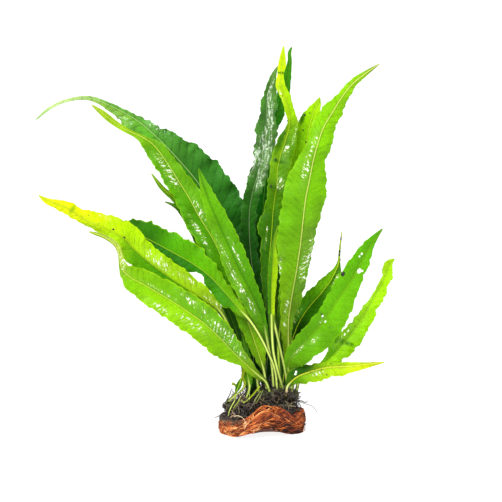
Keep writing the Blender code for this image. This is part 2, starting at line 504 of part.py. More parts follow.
def build_rhizome(name, finish):
    """A knobbly creeping stem."""
    line, _ = RHIZOMES[name]
    rows, _ = curve_through(line, RHIZOME_RINGS)
    tangents = unit(np.gradient(rows, axis=0))
    rings = []
    for index, (spot, tangent) in enumerate(zip(rows, tangents)):
        side = unit(np.cross(tangent, (0.0, 0.0, 1.0)))
        up = np.cross(side, tangent)
        radius = rhizome_radius(name, index / (len(rows) - 1))
        angles = np.linspace(0.0, 2 * math.pi, RHIZOME_SIDES, endpoint=False)
        rings.append([spot + radius * (side * math.cos(a) + up * math.sin(a)) for a in angles])
    return add_object(name, skin(rings), finish)


def foot_height(frond):
    """Height in mm at which a stalk stands just clear of its rhizome."""
    line, radius = RHIZOMES[frond.rhizome]
    rows, _ = curve_through(line, 60)
    x, y = frond.base
    away = np.hypot(rows[:, 0] - x, rows[:, 1] - y)
    nearest = int(np.argmin(away))
    rise = math.sqrt(max(radius ** 2 - away[nearest] ** 2, 0.0)) * (1.0 + RHIZOME_SCAR)
    return rows[nearest, 2] + rise + TOUCH_GAP + FOOT_LIFT


def frond_rows(frond):
    """Rows of (x, y, z, left, right) in mm from the foot to the tip."""
    x, y = frond.base
    rows = [(x, y, foot_height(frond), STALK_RADIUS, STALK_RADIUS)]
    for across, up, depth, left, right in frond.path:
        height = (up - depth * math.sin(VIEW_TILT)) / math.cos(VIEW_TILT)
        rows.append((across, depth, height, left, right))
    return rows


def frond_rings(frond):
    """The blade's cross-sections, eight points each: rib, half way and edge, above and below."""
    _, length = curve_through(frond_rows(frond), 4)
    count = max(5, round(length / SEGMENT_LENGTH) + 1)
    rows, length = curve_through(frond_rows(frond), count)
    places = rows[:, :3]
    tangents = unit(np.gradient(places, axis=0))
    to_viewer = np.array((0.0, -math.cos(VIEW_TILT), math.sin(VIEW_TILT)))
    rings = []
    for index in range(count):
        share = index / (count - 1)
        along = share * length
        tangent = tangents[index]
        side = unit(np.cross(tangent, to_viewer))
        face = np.cross(side, tangent)
        roll = math.radians(frond.roll[0] + (frond.roll[1] - frond.roll[0]) * share)
        left, right = np.maximum(rows[index, 3:5], LEAST_HALF)
        spread = min(max((left + right - STALK_WIDTH) / OPENING_WIDTH, 0.0), 1.0)
        fold = math.radians(frond.fold) * spread
        roll *= spread
        turned_side = side * math.cos(roll) + face * math.sin(roll)
        turned_face = face * math.cos(roll) - side * math.sin(roll)
        rib = STALK_RADIUS + (TIP_RIB_HALF - STALK_RADIUS) * share
        rib = min(rib, 0.6 * (left + right))
        ring = []
        for sign, seen in ((1, right), (-1, left)):
            half = seen / max(math.cos(roll + sign * fold), LEAST_COSINE)
            out = turned_side * sign * math.cos(fold) + turned_face * math.sin(fold)
            phase = 2 * math.pi * along / frond.wave + (0.0 if sign > 0 else LEFT_WAVE_START)
            lift = frond.ruffle * spread * math.sin(phase) * min(half / RUFFLE_HALF, 1.0)
            middle = BLADE_HALF + (STALK_FLATNESS * rib - BLADE_HALF) * (1 - spread)
            edge = places[index] + out * half + turned_face * lift
            reach = 0.5 if spread > 0.5 else 0.7
            half_way = places[index] + out * half * reach + turned_face * lift * 0.25
            ring.append((half_way + turned_face * middle, edge, half_way - turned_face * middle))
        right_top, right_edge, right_below = ring[0]
        left_top, left_edge, left_below = ring[1]
        rings.append((places[index] + turned_face * rib, right_top, right_edge, right_below,
                      places[index] - turned_face * rib, left_below, left_edge, left_top))
    return rings


def build():
    """Builds every piece."""
    coir = material("coir_fibre", (0.42, 0.13, 0.03), 0.9)
    roots = material("fern_root", (0.02, 0.012, 0.008), 0.7)
    stem = material("rhizome_bark", (0.06, 0.05, 0.02), 0.6)
    slab("coir_pad", 1.0, pad_underside, pad_top, coir, PAD_CUTS, PAD_BULGE)
    slab("root_clump", CLUMP_SHARE, clump_floor, clump_top, roots, CLUMP_CUTS, CLUMP_BULGE)
    for name in RHIZOMES:
        build_rhizome(name, stem)
    for name, frond in FRONDS.items():
        add_object(name, skin(frond_rings(frond)), material(name, frond.green, 0.3))


for old in list(bpy.data.objects):
    bpy.data.objects.remove(old)
build()
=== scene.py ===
"""A java fern on its coir pad: ruffled fronds with water on them, thread roots and loose coconut fibre.

The solids of the frame give each piece its place and size. Each is replaced here by the same piece with its
fine form: blades with ribs, veins and waved margins, knobbly stems, thread roots and strands of coir. Sizes
are in millimetres, which MM turns into metres. +Z is up, and the plant is seen from the -Y side.
"""

import logging
import math
from dataclasses import dataclass
from enum import Enum
from typing import Any, Optional, Sequence

import bpy
import numpy as np
from mathutils import Matrix, Vector

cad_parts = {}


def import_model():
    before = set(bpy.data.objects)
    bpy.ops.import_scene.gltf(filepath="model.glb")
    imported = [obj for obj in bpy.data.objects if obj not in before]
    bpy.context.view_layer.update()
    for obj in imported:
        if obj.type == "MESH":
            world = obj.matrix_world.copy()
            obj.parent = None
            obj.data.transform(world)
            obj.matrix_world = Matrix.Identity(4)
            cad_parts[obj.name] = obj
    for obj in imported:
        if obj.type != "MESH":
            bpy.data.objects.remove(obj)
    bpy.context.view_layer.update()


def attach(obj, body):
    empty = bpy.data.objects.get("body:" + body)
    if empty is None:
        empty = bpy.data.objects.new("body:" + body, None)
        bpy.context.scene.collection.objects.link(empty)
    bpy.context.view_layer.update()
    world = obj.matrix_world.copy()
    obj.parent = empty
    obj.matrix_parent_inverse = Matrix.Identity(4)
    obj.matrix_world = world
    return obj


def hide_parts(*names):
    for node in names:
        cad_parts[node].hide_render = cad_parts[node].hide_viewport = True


LOG = logging.getLogger("java_fern")
BODY = "root"

MM = 0.001
TURN = 2 * math.pi
VIEW_TILT = math.radians(10.0)  # how far the drawing that the fronds are laid out on looks down
SOFT_EDGE = 75.0  # degrees from which an edge of a soft, matted or folded piece is shaded sharp
WHITE = (1.0, 1.0, 1.0, 1.0)

# Settings that many nodes share
AS_COLOUR = {"data_type": "RGBA"}
MULTIPLY_ADD = {"operation": "MULTIPLY_ADD"}
SCALE = {"operation": "SCALE"}

Array = np.ndarray
Draws = np.random.Generator
Piece = bpy.types.Object
Material = bpy.types.Material
Tree = bpy.types.NodeTree
Socket = bpy.types.NodeSocket
Place = tuple[float, float, float]
Stops = tuple[tuple[float, str], ...]
Station = tuple[float, float, float, float, float]
Spot = tuple[float, float, float, float]
Bead = tuple[float, float, float]


class RecordSlot(Enum):
    """The record's material slots."""

    GREEN = "frond_green"
    DARK = "frond_dark"
    LIME = "frond_lime"
    PALE = "frond_pale"
    RHIZOME = "rhizome"
    ROOTS = "roots"
    COIR = "coir"


# Colour, nodes and meshes


def linear(hex_colour: str) -> tuple[float, float, float, float]:
    """Turns an sRGB hex colour into linear light.

    Args:
        hex_colour: Colour such as "#6BBC1A".

    Returns:
        Red, green, blue and an alpha of 1.
    """
    shares = [int(hex_colour[start : start + 2], 16) / 255 for start in (1, 3, 5)]
    lit = [s / 12.92 if s <= 0.04045 else ((s + 0.055) / 1.055) ** 2.4 for s in shares]
    return (lit[0], lit[1], lit[2], 1.0)


def feed(tree: Tree, node: bpy.types.Node, inputs: dict[Any, Any]) -> None:
    """Gives a node's inputs their values and links.

    Args:
        tree: Tree of the node.
        node: The node.
        inputs: Input sockets by name or number, each with a value or the socket that feeds it.
    """
    for key, value in inputs.items():
        if isinstance(value, Socket):
            tree.links.new(value, node.inputs[key])
        else:
            node.inputs[key].default_value = value


def add_node(
    tree: Tree,
    kind: str,
    inputs: Optional[dict[Any, Any]] = None,
    settings: Optional[dict[str, Any]] = None,
    output: int = 0,
) -> Socket:
    """Adds a node with its settings, values and links.

    Args:
        tree: Node tree that takes the node.
        kind: Blender's name of the node's class, without the leading ShaderNode.
        inputs: Input sockets by name or number, each with a value or the socket that feeds it.
        settings: Properties of the node.
        output: Number of the output socket that is handed back.

    Returns:
        The chosen output socket, whose node attribute is the node.
    """
    node = tree.nodes.new("ShaderNode" + kind)
    for name, value in (settings or {}).items():
        setattr(node, name, value)
    feed(tree, node, inputs or {})
    return node.outputs[output]


def set_stops(ramp: Socket, stops: Stops) -> Socket:
    """Gives a colour ramp its colours.

    Args:
        ramp: Output socket of the ramp's node.
        stops: Places from 0 to 1 with their hex colours, in order.

    Returns:
        The same socket.
    """
    elements = ramp.node.color_ramp.elements
    while len(elements) < len(stops):
        elements.new(0.5)
    for element, (place, colour) in zip(elements, stops):
        element.position = place
        element.color = linear(colour)
    return ramp


def new_material(name: str) -> tuple[Material, Tree, bpy.types.Node]:
    """Makes a material with one Principled shader.

    Args:
        name: Name of the material.

    Returns:
        The material, its node tree and its shader node.
    """
    made = bpy.data.materials.new(name)
    made.use_nodes = True
    return made, made.node_tree, made.node_tree.nodes["Principled BSDF"]


def make_mesh(
    name: str,
    points: Array,
    quads: Array,
    triangles: Optional[Array] = None,
    values: Optional[dict[str, Array]] = None,
    sharp_from: float = 60.0,
) -> Piece:
    """Makes a smooth mesh object from points in millimetres.

    Args:
        name: Name of the object.
        points: Rows of x, y and z in mm.
        quads: Rows of four point numbers.
        triangles: Rows of three point numbers.
        values: Numbers or vectors for each point, by attribute name.
        sharp_from: Angle in degrees from which an edge is shaded sharp.

    Returns:
        The new object, linked to the scene.
    """
    mesh = bpy.data.meshes.new(name)
    kinds = [quads] if triangles is None else [quads, triangles]
    corners = np.concatenate([kind.ravel() for kind in kinds]).astype(np.int32)
    sizes = np.concatenate([np.full(len(kind), kind.shape[1]) for kind in kinds])
    starts = np.concatenate([[0], np.cumsum(sizes)[:-1]]).astype(np.int32)
    mesh.vertices.add(len(points))
    mesh.vertices.foreach_set("co", (points * MM).astype(np.float32).ravel())
    mesh.loops.add(len(corners))
    mesh.loops.foreach_set("vertex_index", corners)
    mesh.polygons.add(len(sizes))
    mesh.polygons.foreach_set("loop_start", starts)
    mesh.update(calc_edges=True)
    for label, numbers in (values or {}).items():
        kind, field = ("FLOAT_VECTOR", "vector") if numbers.ndim == 2 else ("FLOAT", "value")
        layer = mesh.attributes.new(label, kind, "POINT")
        layer.data.foreach_set(field, numbers.astype(np.float32).ravel())
    mesh.shade_smooth()
    mesh.set_sharp_from_angle(angle=math.radians(sharp_from))
    made = bpy.data.objects.new(name, mesh)
    bpy.context.scene.collection.objects.link(made)
    return made


def hand_over(piece: Piece, material: Material, node: str) -> None:
    """Dresses a piece and puts it on the plant.

    Args:
        piece: The piece.
        material: Its material.
        node: The frame's node that the piece replaces.
    """
    piece.data.materials.append(material)
    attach(piece, BODY)
    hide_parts(node)


def unit(vectors: Array) -> Array:
    """Rows of vectors at length one."""
    return vectors / np.linalg.norm(vectors, axis=-1, keepdims=True)


def stacked(*parts: Array) -> Array:
    """Arrays of x, y and so on as one array of places."""
    return np.stack(parts, axis=-1)


def circle(count: int) -> Array:
    """Angles at even steps once round."""
    return np.linspace(0.0, TURN, count, endpoint=False)


def hump(values: Array, middle: float, half: float) -> Array:
    """A smooth hump of height 1 at its middle, about three half widths broad."""
    return np.exp(-((values - middle) / half) ** 2)


def taper(count: int, loss: float) -> Array:
    """Thickness along a strand, 1 at its root and less by so much at its tip."""
    return 1.0 - loss * np.linspace(0.0, 1.0, count)


def rounded_reach(along: Array, across: Array, power: float) -> Array:
    """How far out a place lies in a plan with rounded corners, 1 on its edge."""
    return (np.abs(along) ** power + np.abs(across) ** power) ** (1 / power)


def rise(values: Array, low: float, high: float) -> Array:
    """Rises smoothly from 0 at low to 1 at high."""
    share = np.clip((values - low) / (high - low), 0.0, 1.0)
    return share * share * (3.0 - 2.0 * share)


def sway(along: Array, wave: float, rng: Draws) -> Array:
    """A smooth irregular wave.

    Args:
        along: Places in mm.
        wave: Mean length of the waves in mm.
        rng: Source of the wave's phases.

    Returns:
        Heights between about -1 and 1.
    """
    total = np.zeros_like(along, dtype=float)
    for pace in (0.61, 1.0, 1.73):
        total = total + np.sin(TURN * pace * along / wave + rng.uniform(0.0, TURN))
    return total / 2.2


def closed_skin(rings: Array) -> tuple[Array, Array]:
    """Joins rings of points into a closed body of quads.

    Args:
        rings: Array of rings, points in a ring, and x, y and z. The count of points is even.

    Returns:
        The points, with the middles of both end rings added, and the quads, facing out.
    """
    count, around = rings.shape[:2]
    points = np.vstack([rings.reshape(-1, 3), rings[0].mean(axis=0), rings[-1].mean(axis=0)])
    index = np.arange(count * around).reshape(count, around)
    after = np.roll(index, -1, axis=1)
    sides = stacked(index[:-1], after[:-1], after[1:], index[1:]).reshape(-1, 4)
    even = range(0, around, 2)
    first = [[count * around, index[0, (k + 2) % around], index[0, k + 1], index[0, k]] for k in even]
    last = [[count * around + 1, index[-1, k], index[-1, k + 1], index[-1, (k + 2) % around]] for k in even]
    quads = np.vstack([sides, first, last])
    a, b, c, d = (points[quads[:, corner]] for corner in range(4))
    volume = np.sum(np.cross(b - a, c - a) * a) + np.sum(np.cross(c - a, d - a) * a)
    return points, quads if volume > 0 else quads[:, ::-1]


def strands(name: str, lines: Array, radii: Array, tints: Array, sides: int = 3) -> Piece:
    """Joins thin closed strands into one mesh.

    Args:
        name: Name of the object.
        lines: Array of strands, points along a strand, and x, y and z in mm.
        radii: Radius in mm at each point of each strand.
        tints: One number from 0 to 1 for each strand, kept in the attribute "tint".
        sides: Sides of a strand, which is three for the finest.

    Returns:
        The new object.
    """
    tangents = unit(np.gradient(lines, axis=1) + 1e-9)
    across = unit(np.cross(tangents, (0.31, 0.22, 0.93)))
    other = np.cross(tangents, across)
    turns = (TURN * np.arange(sides) / sides)[:, None]
    # Spokes from the middle of a strand to its corners
    spokes = across[:, :, None] * np.cos(turns) + other[:, :, None] * np.sin(turns)
    rings = lines[:, :, None] + radii[:, :, None, None] * spokes
    total, count = lines.shape[:2]
    index = np.arange(total * count * sides).reshape(total, count, sides)
    after = np.roll(index, -1, axis=2)
    quads = stacked(index[:, :-1], after[:, :-1], after[:, 1:], index[:, 1:]).reshape(-1, 4)
    fans = [(0, k + 1, k) for k in range(1, sides - 1)]
    caps = [index[:, 0][:, fan] for fan in fans] + [index[:, -1][:, fan[::-1]] for fan in fans]
    tint = np.repeat(tints, count * sides)
    return make_mesh(name, rings.reshape(-1, 3), quads, np.concatenate(caps), {"tint": tint}, 80.0)


def curve_through(rows: Sequence[Sequence[float]], count: int) -> tuple[Array, float]:
    """Places at even steps along a smooth curve through rows of numbers.

    Args:
        rows: Rows whose first three numbers are a place. The rest are carried along.
        count: How many places are wanted.

    Returns:
        The places as rows, and the length of the curve.
    """
    given = np.array(rows, dtype=float)
    padded = np.vstack([2 * given[0] - given[1], given, 2 * given[-1] - given[-2]])
    steps = np.linspace(0.0, 1.0, 24, endpoint=False)[:, None]
    fine = []
    for span in range(len(given) - 1):
        before, start, end, after = padded[span : span + 4]
        fine.append(
            0.5 * (2 * start + (end - before) * steps
                   + (2 * before - 5 * start + 4 * end - after) * steps ** 2
                   + (3 * start - before - 3 * end + after) * steps ** 3)
        )
    curve = np.vstack(fine + [given[-1:]])
    run = np.concatenate([[0.0], np.cumsum(np.linalg.norm(np.diff(curve[:, :3], axis=0), axis=1))])
    wanted = np.linspace(0.0, run[-1], count)
    return stacked(*(np.interp(wanted, run, column) for column in curve.T)), float(run[-1])


def eased(rows: Array, reach: int) -> Array:
    """Rounds the bends of evenly spaced rows, with both ends kept.

    Args:
        rows: Rows of numbers.
        reach: How many rows on each side take part.

    Returns:
        As many rows, smoothed.
    """
    kernel = np.hanning(2 * reach + 3)[1:-1]
    kernel = kernel / kernel.sum()
    head = 2 * rows[0] - rows[reach:0:-1]
    tail = 2 * rows[-1] - rows[-2 : -reach - 2 : -1]
    padded = np.vstack([head, rows, tail])
    return stacked(*(np.convolve(column, kernel, mode="valid") for column in padded.T))


def drawn(across: float, up: float, depth: float) -> Place:
    """A place given across and up the front drawing, and behind it, as x, y and z in mm."""
    return (across, depth, (up - depth * math.sin(VIEW_TILT)) / math.cos(VIEW_TILT))


# Finishes


# How fast the streaks of painted sheen and painted glints change with the turn of the veins, with mm across
# and with mm along
ACROSS_BLADE = (3.6, 0.26, 0.0)
ALONG_BLADE = (0.0, 1.0, 0.2)


class BladeReadings:
    """What the mesh of a blade tells its finish: places in mm, and the attributes that it carries."""

    def __init__(self, tree: Tree) -> None:
        """Adds the nodes that read the mesh.

        Args:
            tree: The leaf's node tree.
        """
        self.tree = tree
        self.place = add_node(tree, "Attribute", settings={"attribute_name": "blade_mm"}, output=1)
        self.across = add_node(tree, "SeparateXYZ", {0: self.place})
        self.along = self.across.node.outputs[1]
        self.away = add_node(tree, "Math", {0: self.across}, {"operation": "ABSOLUTE"})
        self.share, self.turn, self.reach, self.stalk, self.dim, self.wet_and_sheen = (
            add_node(tree, "Attribute", settings={"attribute_name": name}, output=2)
            for name in ("share", "vein_turn", "margin_reach", "stalk", "dim", "wet_and_sheen")
        )


@dataclass(frozen=True)
class FernTissue:
    """Living fern leaf, a soft waxy cuticle that a coat of water makes glossy.

    Its colours run from the foot of the stalk at 0 to the tip at 1, on the left and on the right of the
    midrib as seen growing up from the root, and hold painted shade where a half or the foot lies in shade.
    The mesh tells it each place on the blade in mm, its share of the length, the turn of the side veins, how
    far out to the margin it is, how much of a stalk it is, how far it lies in painted shade, and how much
    drying water lies there, which glosses the coat and carries a painted sheen and painted glints.
    """

    left: Stops
    right: Stops
    slot: RecordSlot = RecordSlot.GREEN
    exposure: float = 1.5  # how much lighter the greens look in this light than the leaf's own
    blue: float = 0.22  # share of the blue that is the leaf's own, the rest being light off its surface
    stalk: str = "#C4D868"
    flank_shade: str = "#304C0C"  # painted shade on the rounded sides of the stalk
    rib: str = "#C9E86A"
    rib_share: float = 0.7  # how strongly the midrib's own colour shows
    rib_half: float = 0.36  # half the midrib's width in mm
    margin: str = "#A8E02C"
    margin_share: float = 0.5
    mottle: float = 0.18  # how much the clouds of green differ
    vein: float = 0.2  # how much darker the side veins are
    painted_sheen: str = "#C6E6A2"  # a painted sheen, pale, where drying water lies
    veil: float = 0.42  # how strongly the painted sheen shows
    painted_glint: str = "#FFFFFF"  # painted glints, the white streaks where the water stands thicker
    cover: float = 0.84  # how high the noise must stand for painted glints, so less gives more of them and more painted sheen
    streaks: Place = ACROSS_BLADE
    shade: str = "#2F6A10"  # where the blade turns its back or lies in a fold

    def dress(self, name: str) -> Material:
        """Makes the leaf's material.

        Args:
            name: Name of the material.

        Returns:
            The material.
        """
        made, tree, shader = new_material(name)
        blade = BladeReadings(tree)
        vein = self._vein(blade)
        # The net of veinlets has meshes of about 1.4 mm, drawn coarser than life so that it shows
        net = {"Vector": blade.place, "Scale": 0.7}
        net = add_node(tree, "TexVoronoi", net, {"feature": "DISTANCE_TO_EDGE"})
        net = add_node(tree, "MapRange", {0: net, 1: 0.0, 2: 0.16, 3: 1.0, 4: 0.0})
        body = self._lines(blade, self._body(blade), vein, net)
        # Painted sheen and painted glints where water lies, mixed into the leaf's colour
        sheen_mask, painted_glint = self._painted_sheen_and_glints(blade)
        body = add_node(tree, "Mix", {0: sheen_mask, 6: body, 7: linear(self.painted_sheen)}, AS_COLOUR, 2)
        own = (1 / self.exposure, 1 / self.exposure, self.blue / self.exposure)
        body = add_node(tree, "VectorMath", {0: body, 1: own}, {"operation": "MULTIPLY"})
        body = add_node(tree, "Mix", {0: painted_glint, 6: body, 7: linear(self.painted_glint)}, AS_COLOUR, 2)
        feed(tree, shader, {"Base Color": self._stalk(blade, body)})
        self._surface(blade, shader, vein, net)
        return made

    def _vein(self, blade: BladeReadings) -> Socket:
        """Where the slanting side veins run.

        Args:
            blade: What the mesh tells of the blade.

        Returns:
            1 on a vein, 0 between two.
        """
        wave = add_node(blade.tree, "Math", {0: blade.turn, 1: math.pi}, {"operation": "MULTIPLY"})
        wave = add_node(blade.tree, "Math", {0: wave}, {"operation": "SINE"})
        wave = add_node(blade.tree, "Math", {0: wave}, {"operation": "ABSOLUTE"})
        line = add_node(blade.tree, "MapRange", {0: wave, 1: 0.0, 2: 0.4, 3: 1.0, 4: 0.0})
        # A vein comes and goes along the blade, in stretches of about 9 mm
        patch = add_node(blade.tree, "TexNoise", {"Vector": blade.place, "Scale": 1 / 9, "Detail": 1.0})
        patch = add_node(blade.tree, "MapRange", {0: patch, 1: 0.38, 2: 0.62, 3: 0.1, 4: 1.0})
        return add_node(blade.tree, "Math", {0: line, 1: patch}, {"operation": "MULTIPLY"})

    def _body(self, blade: BladeReadings) -> Socket:
        """The leaf's green from foot to tip, different on its two halves and cloudy, with painted shade where
        a half, the foot or a patch lies in shade.

        Args:
            blade: What the mesh tells of the blade.

        Returns:
            The colour.
        """
        tree = blade.tree
        # Clouds of green some 12 mm across, as the leaf's age and light leave them
        cloud = add_node(tree, "TexNoise", {"Vector": blade.place, "Scale": 1 / 12, "Detail": 4.0})
        drift = add_node(tree, "Math", {0: cloud, 1: 0.1, 2: blade.share}, MULTIPLY_ADD)
        drift = add_node(tree, "Math", {0: drift, 1: -0.05}, {"operation": "ADD"})
        # The stops of each half hold painted shade where that half or the foot lies in shade
        left = set_stops(add_node(tree, "ValToRGB", {0: drift}), self.left)
        right = set_stops(add_node(tree, "ValToRGB", {0: drift}), self.right)
        half = add_node(tree, "MapRange", {0: blade.across, 1: -0.4, 2: 0.4})
        body = add_node(tree, "Mix", {0: half, 6: left, 7: right}, AS_COLOUR, 2)
        light = {0: cloud, 1: 0.3, 2: 0.7, 3: 1 - self.mottle, 4: 1 + self.mottle}
        body = add_node(tree, "VectorMath", {0: body, 3: add_node(tree, "MapRange", light)}, SCALE)
        # Painted shade in the patches that lie in shade
        return add_node(tree, "Mix", {0: blade.dim, 6: body, 7: linear(self.shade)}, AS_COLOUR, 2)

    def _lines(self, blade: BladeReadings, body: Socket, vein: Socket, net: Socket) -> Socket:
        """Side veins, veinlets, bright margin, and the midrib with painted shade along both its sides.

        Args:
            blade: What the mesh tells of the blade.
            body: The leaf's colour so far.
            vein: Mask of the side veins.
            net: Mask of the veinlets.

        Returns:
            The colour with its lines.
        """
        tree, half = blade.tree, self.rib_half
        dark = add_node(tree, "Math", {0: vein, 1: -self.vein, 2: 1.0}, MULTIPLY_ADD)
        dark = add_node(tree, "Math", {0: net, 1: -0.19, 2: dark}, MULTIPLY_ADD)
        body = add_node(tree, "VectorMath", {0: body, 3: dark}, SCALE)
        rim = add_node(tree, "MapRange", {0: blade.reach, 1: 0.9, 2: 1.0, 3: 0.0, 4: self.margin_share})
        body = add_node(tree, "Mix", {0: rim, 6: body, 7: linear(self.margin)}, AS_COLOUR, 2)
        # Painted shade along both sides of the midrib
        groove_shade = add_node(tree, "MapRange", {0: blade.away, 1: half, 2: 3.0 * half, 3: 0.74, 4: 1.0})
        body = add_node(tree, "VectorMath", {0: body, 3: groove_shade}, SCALE)
        rib = add_node(tree, "MapRange", {0: blade.away, 1: 0.3 * half, 2: half, 3: self.rib_share, 4: 0.0})
        return add_node(tree, "Mix", {0: rib, 6: body, 7: linear(self.rib)}, AS_COLOUR, 2)

    def _stalk(self, blade: BladeReadings, body: Socket) -> Socket:
        """The pale stalk with painted shade on its sides.

        Args:
            blade: What the mesh tells of the blade.
            body: The blade's colour.

        Returns:
            The colour of blade and stalk.
        """
        # Painted shade towards the sides of the stalk, where it turns away from the light
        green = add_node(blade.tree, "MapRange", {0: blade.away, 1: 0.3, 2: 0.75})
        green = {0: green, 6: linear(self.stalk), 7: linear(self.flank_shade)}
        green = add_node(blade.tree, "Mix", green, AS_COLOUR, 2)
        return add_node(blade.tree, "Mix", {0: blade.stalk, 6: body, 7: green}, AS_COLOUR, 2)

    def _painted_sheen_and_glints(self, blade: BladeReadings) -> tuple[Socket, Socket]:
        """Painted sheen and painted glints where drying water lies: a thin pale sheen, and broken white
        streaks.

        Args:
            blade: What the mesh tells of the blade.

        Returns:
            Mask of the painted sheen and mask of the painted glints.
        """
        tree = blade.tree
        # Streaks about 1 mm thick and 4 mm long, and specks of about 1 mm that break them up, for the painted
        # glints and sheen
        slant = add_node(tree, "CombineXYZ", {0: blade.turn, 1: blade.across, 2: blade.along})
        slant = add_node(tree, "Mapping", {0: slant, 3: self.streaks})
        streak = add_node(tree, "TexNoise", {"Vector": slant, "Scale": 1.0, "Detail": 2.0})
        speck = add_node(tree, "TexNoise", {"Vector": blade.place, "Scale": 0.9, "Detail": 1.0})
        both = add_node(tree, "Math", {0: speck, 1: 0.6, 2: streak}, MULTIPLY_ADD)
        level = add_node(tree, "MapRange", {0: blade.wet_and_sheen, 3: 1.3, 4: self.cover})
        above = add_node(tree, "Math", {0: both, 1: level}, {"operation": "SUBTRACT"})
        sheen_mask = add_node(tree, "MapRange", {0: above, 1: -0.14, 2: 0.04, 3: 0.0, 4: self.veil})
        return sheen_mask, add_node(tree, "MapRange", {0: above, 1: 0.01, 2: 0.11, 3: 0.0, 4: 0.78})

    def _surface(self, blade: BladeReadings, shader: bpy.types.Node, vein: Socket, net: Socket) -> None:
        """Gloss and fine relief: a cuticle of IOR 1.42 with water of IOR 1.33 over it.

        Args:
            blade: What the mesh tells of the blade.
            shader: The leaf's shader.
            vein: Mask of the side veins.
            net: Mask of the veinlets.
        """
        tree = blade.tree
        # Puckers of the blade some 2.2 mm apart, which break the lights up into short streaks
        pucker = add_node(tree, "TexNoise", {"Vector": blade.place, "Scale": 0.45, "Detail": 4.0})
        height = add_node(tree, "Math", {0: net, 1: -0.25, 2: pucker}, MULTIPLY_ADD)
        height = add_node(tree, "Math", {0: vein, 1: -0.4, 2: height}, MULTIPLY_ADD)
        relief = add_node(tree, "Bump", {"Strength": 0.7, "Distance": 0.5 * MM, "Height": height})
        rough = add_node(tree, "MapRange", {0: pucker, 1: 0.3, 2: 0.7, 3: 0.38, 4: 0.55})
        water = add_node(tree, "MapRange", {0: blade.wet_and_sheen, 3: 0.08, 4: 0.7})
        feed(tree, shader, {
            "Roughness": rough, "Normal": relief, "IOR": 1.42, "Specular IOR Level": 0.08,
            "Coat Weight": water, "Coat Normal": relief, "Coat Roughness": 0.14, "Coat IOR": 1.33,
        })


@dataclass(frozen=True)
class StrandFinish:
    """Strands and beads whose colour differs from one to the next by the attribute "tint"."""

    name: str
    stops: Stops
    roughness: float
    coat: float = 0.0
    band_mm: float = 3.0  # length of the lighter and darker stretches of a strand

    def dress(self) -> Material:
        """Makes the material of these fine pieces.

        Returns:
            The material.
        """
        made, tree, shader = new_material(self.name)
        tint = add_node(tree, "Attribute", settings={"attribute_name": "tint"}, output=2)
        place = add_node(tree, "TexCoord", output=3)
        scale = 1 / (self.band_mm * MM)
        band = add_node(tree, "TexNoise", {"Vector": place, "Scale": scale, "Detail": 3.0})
        drift = add_node(tree, "Math", {0: band, 1: 0.5, 2: tint}, MULTIPLY_ADD)
        drift = add_node(tree, "Math", {0: drift, 1: -0.25}, {"operation": "ADD"})
        ramp = set_stops(add_node(tree, "ValToRGB", {0: drift}), self.stops)
        rough = add_node(tree, "MapRange", {0: band, 3: self.roughness - 0.1, 4: self.roughness + 0.1})
        feed(tree, shader, {
            "Base Color": ramp, "Roughness": rough, "Coat Weight": self.coat, "Coat Roughness": 0.15,
        })
        return made


@dataclass(frozen=True)
class FeltFinish:
    """Matted or scaly plant matter seen as one surface, with its strands as relief and change of colour."""

    name: str
    stops: Stops
    strand_mm: float
    stretch: Place
    roughness: float
    relief_mm: float

    def dress(self) -> Material:
        """Makes the matted surface's material.

        Returns:
            The material.
        """
        made, tree, shader = new_material(self.name)
        place = add_node(tree, "Mapping", {0: add_node(tree, "TexCoord", output=3), 3: self.stretch})
        fibre = {"Vector": place, "Scale": 1 / (self.strand_mm * MM), "Detail": 6.0, "Distortion": 1.2}
        fibre = add_node(tree, "TexNoise", fibre)
        ramp = set_stops(add_node(tree, "ValToRGB", {0: fibre}), self.stops)
        relief = add_node(tree, "Bump", {"Strength": 0.9, "Distance": self.relief_mm * MM, "Height": fibre})
        rough = add_node(tree, "MapRange", {0: fibre, 3: self.roughness, 4: self.roughness + 0.1})
        feed(tree, shader, {"Base Color": ramp, "Roughness": rough, "Normal": relief})
        return made


# Drops of water on the blades, which flash white with a painted highlight; specks of decay; and the dry brown
# scale of a bud
WATER_DROP = StrandFinish("drop_of_water_painted_highlight", ((0.0, "#CFEFB4"), (0.5, "#FFFFFF")), 0.12, 1.0, 0.6)
DECAY_SPECK = StrandFinish("speck_of_decay", ((0.0, "#050802"), (1.0, "#26340C")), 0.6, 0.0, 0.5)
BUD_SCALE = StrandFinish("dry_bud_scale", ((0.0, "#5A3A1C"), (0.6, "#A8845A"), (1.0, "#D8BC90")), 0.6)
# Coconut husk fibre, dry and matt: orange brown, each strand a tone of its own, the darkest a painted shade
# of strands that lie deep and the palest a painted highlight
COIR_FIBRE = StrandFinish(
    "coconut_husk_fibre",
    ((0.0, "#2A0A00"), (0.22, "#6C2406"), (0.48, "#AC4C16"), (0.74, "#DA7C34"), (1.0, "#F6B878")),
    0.78,
)
COIR_FELT = FeltFinish(
    "coconut_husk_felt",
    ((0.35, "#240A02"), (0.5, "#4E1C08"), (0.68, "#8A401A")),
    1.6, (0.35, 0.35, 1.6), 0.82, 0.6,
)
# Young shoots, soft and yellow green
YOUNG_SHOOT = StrandFinish(
    "young_fern_shoot", ((0.0, "#4E6414"), (0.5, "#96AE34"), (1.0, "#D2DE6C")), 0.45, 0.2
)
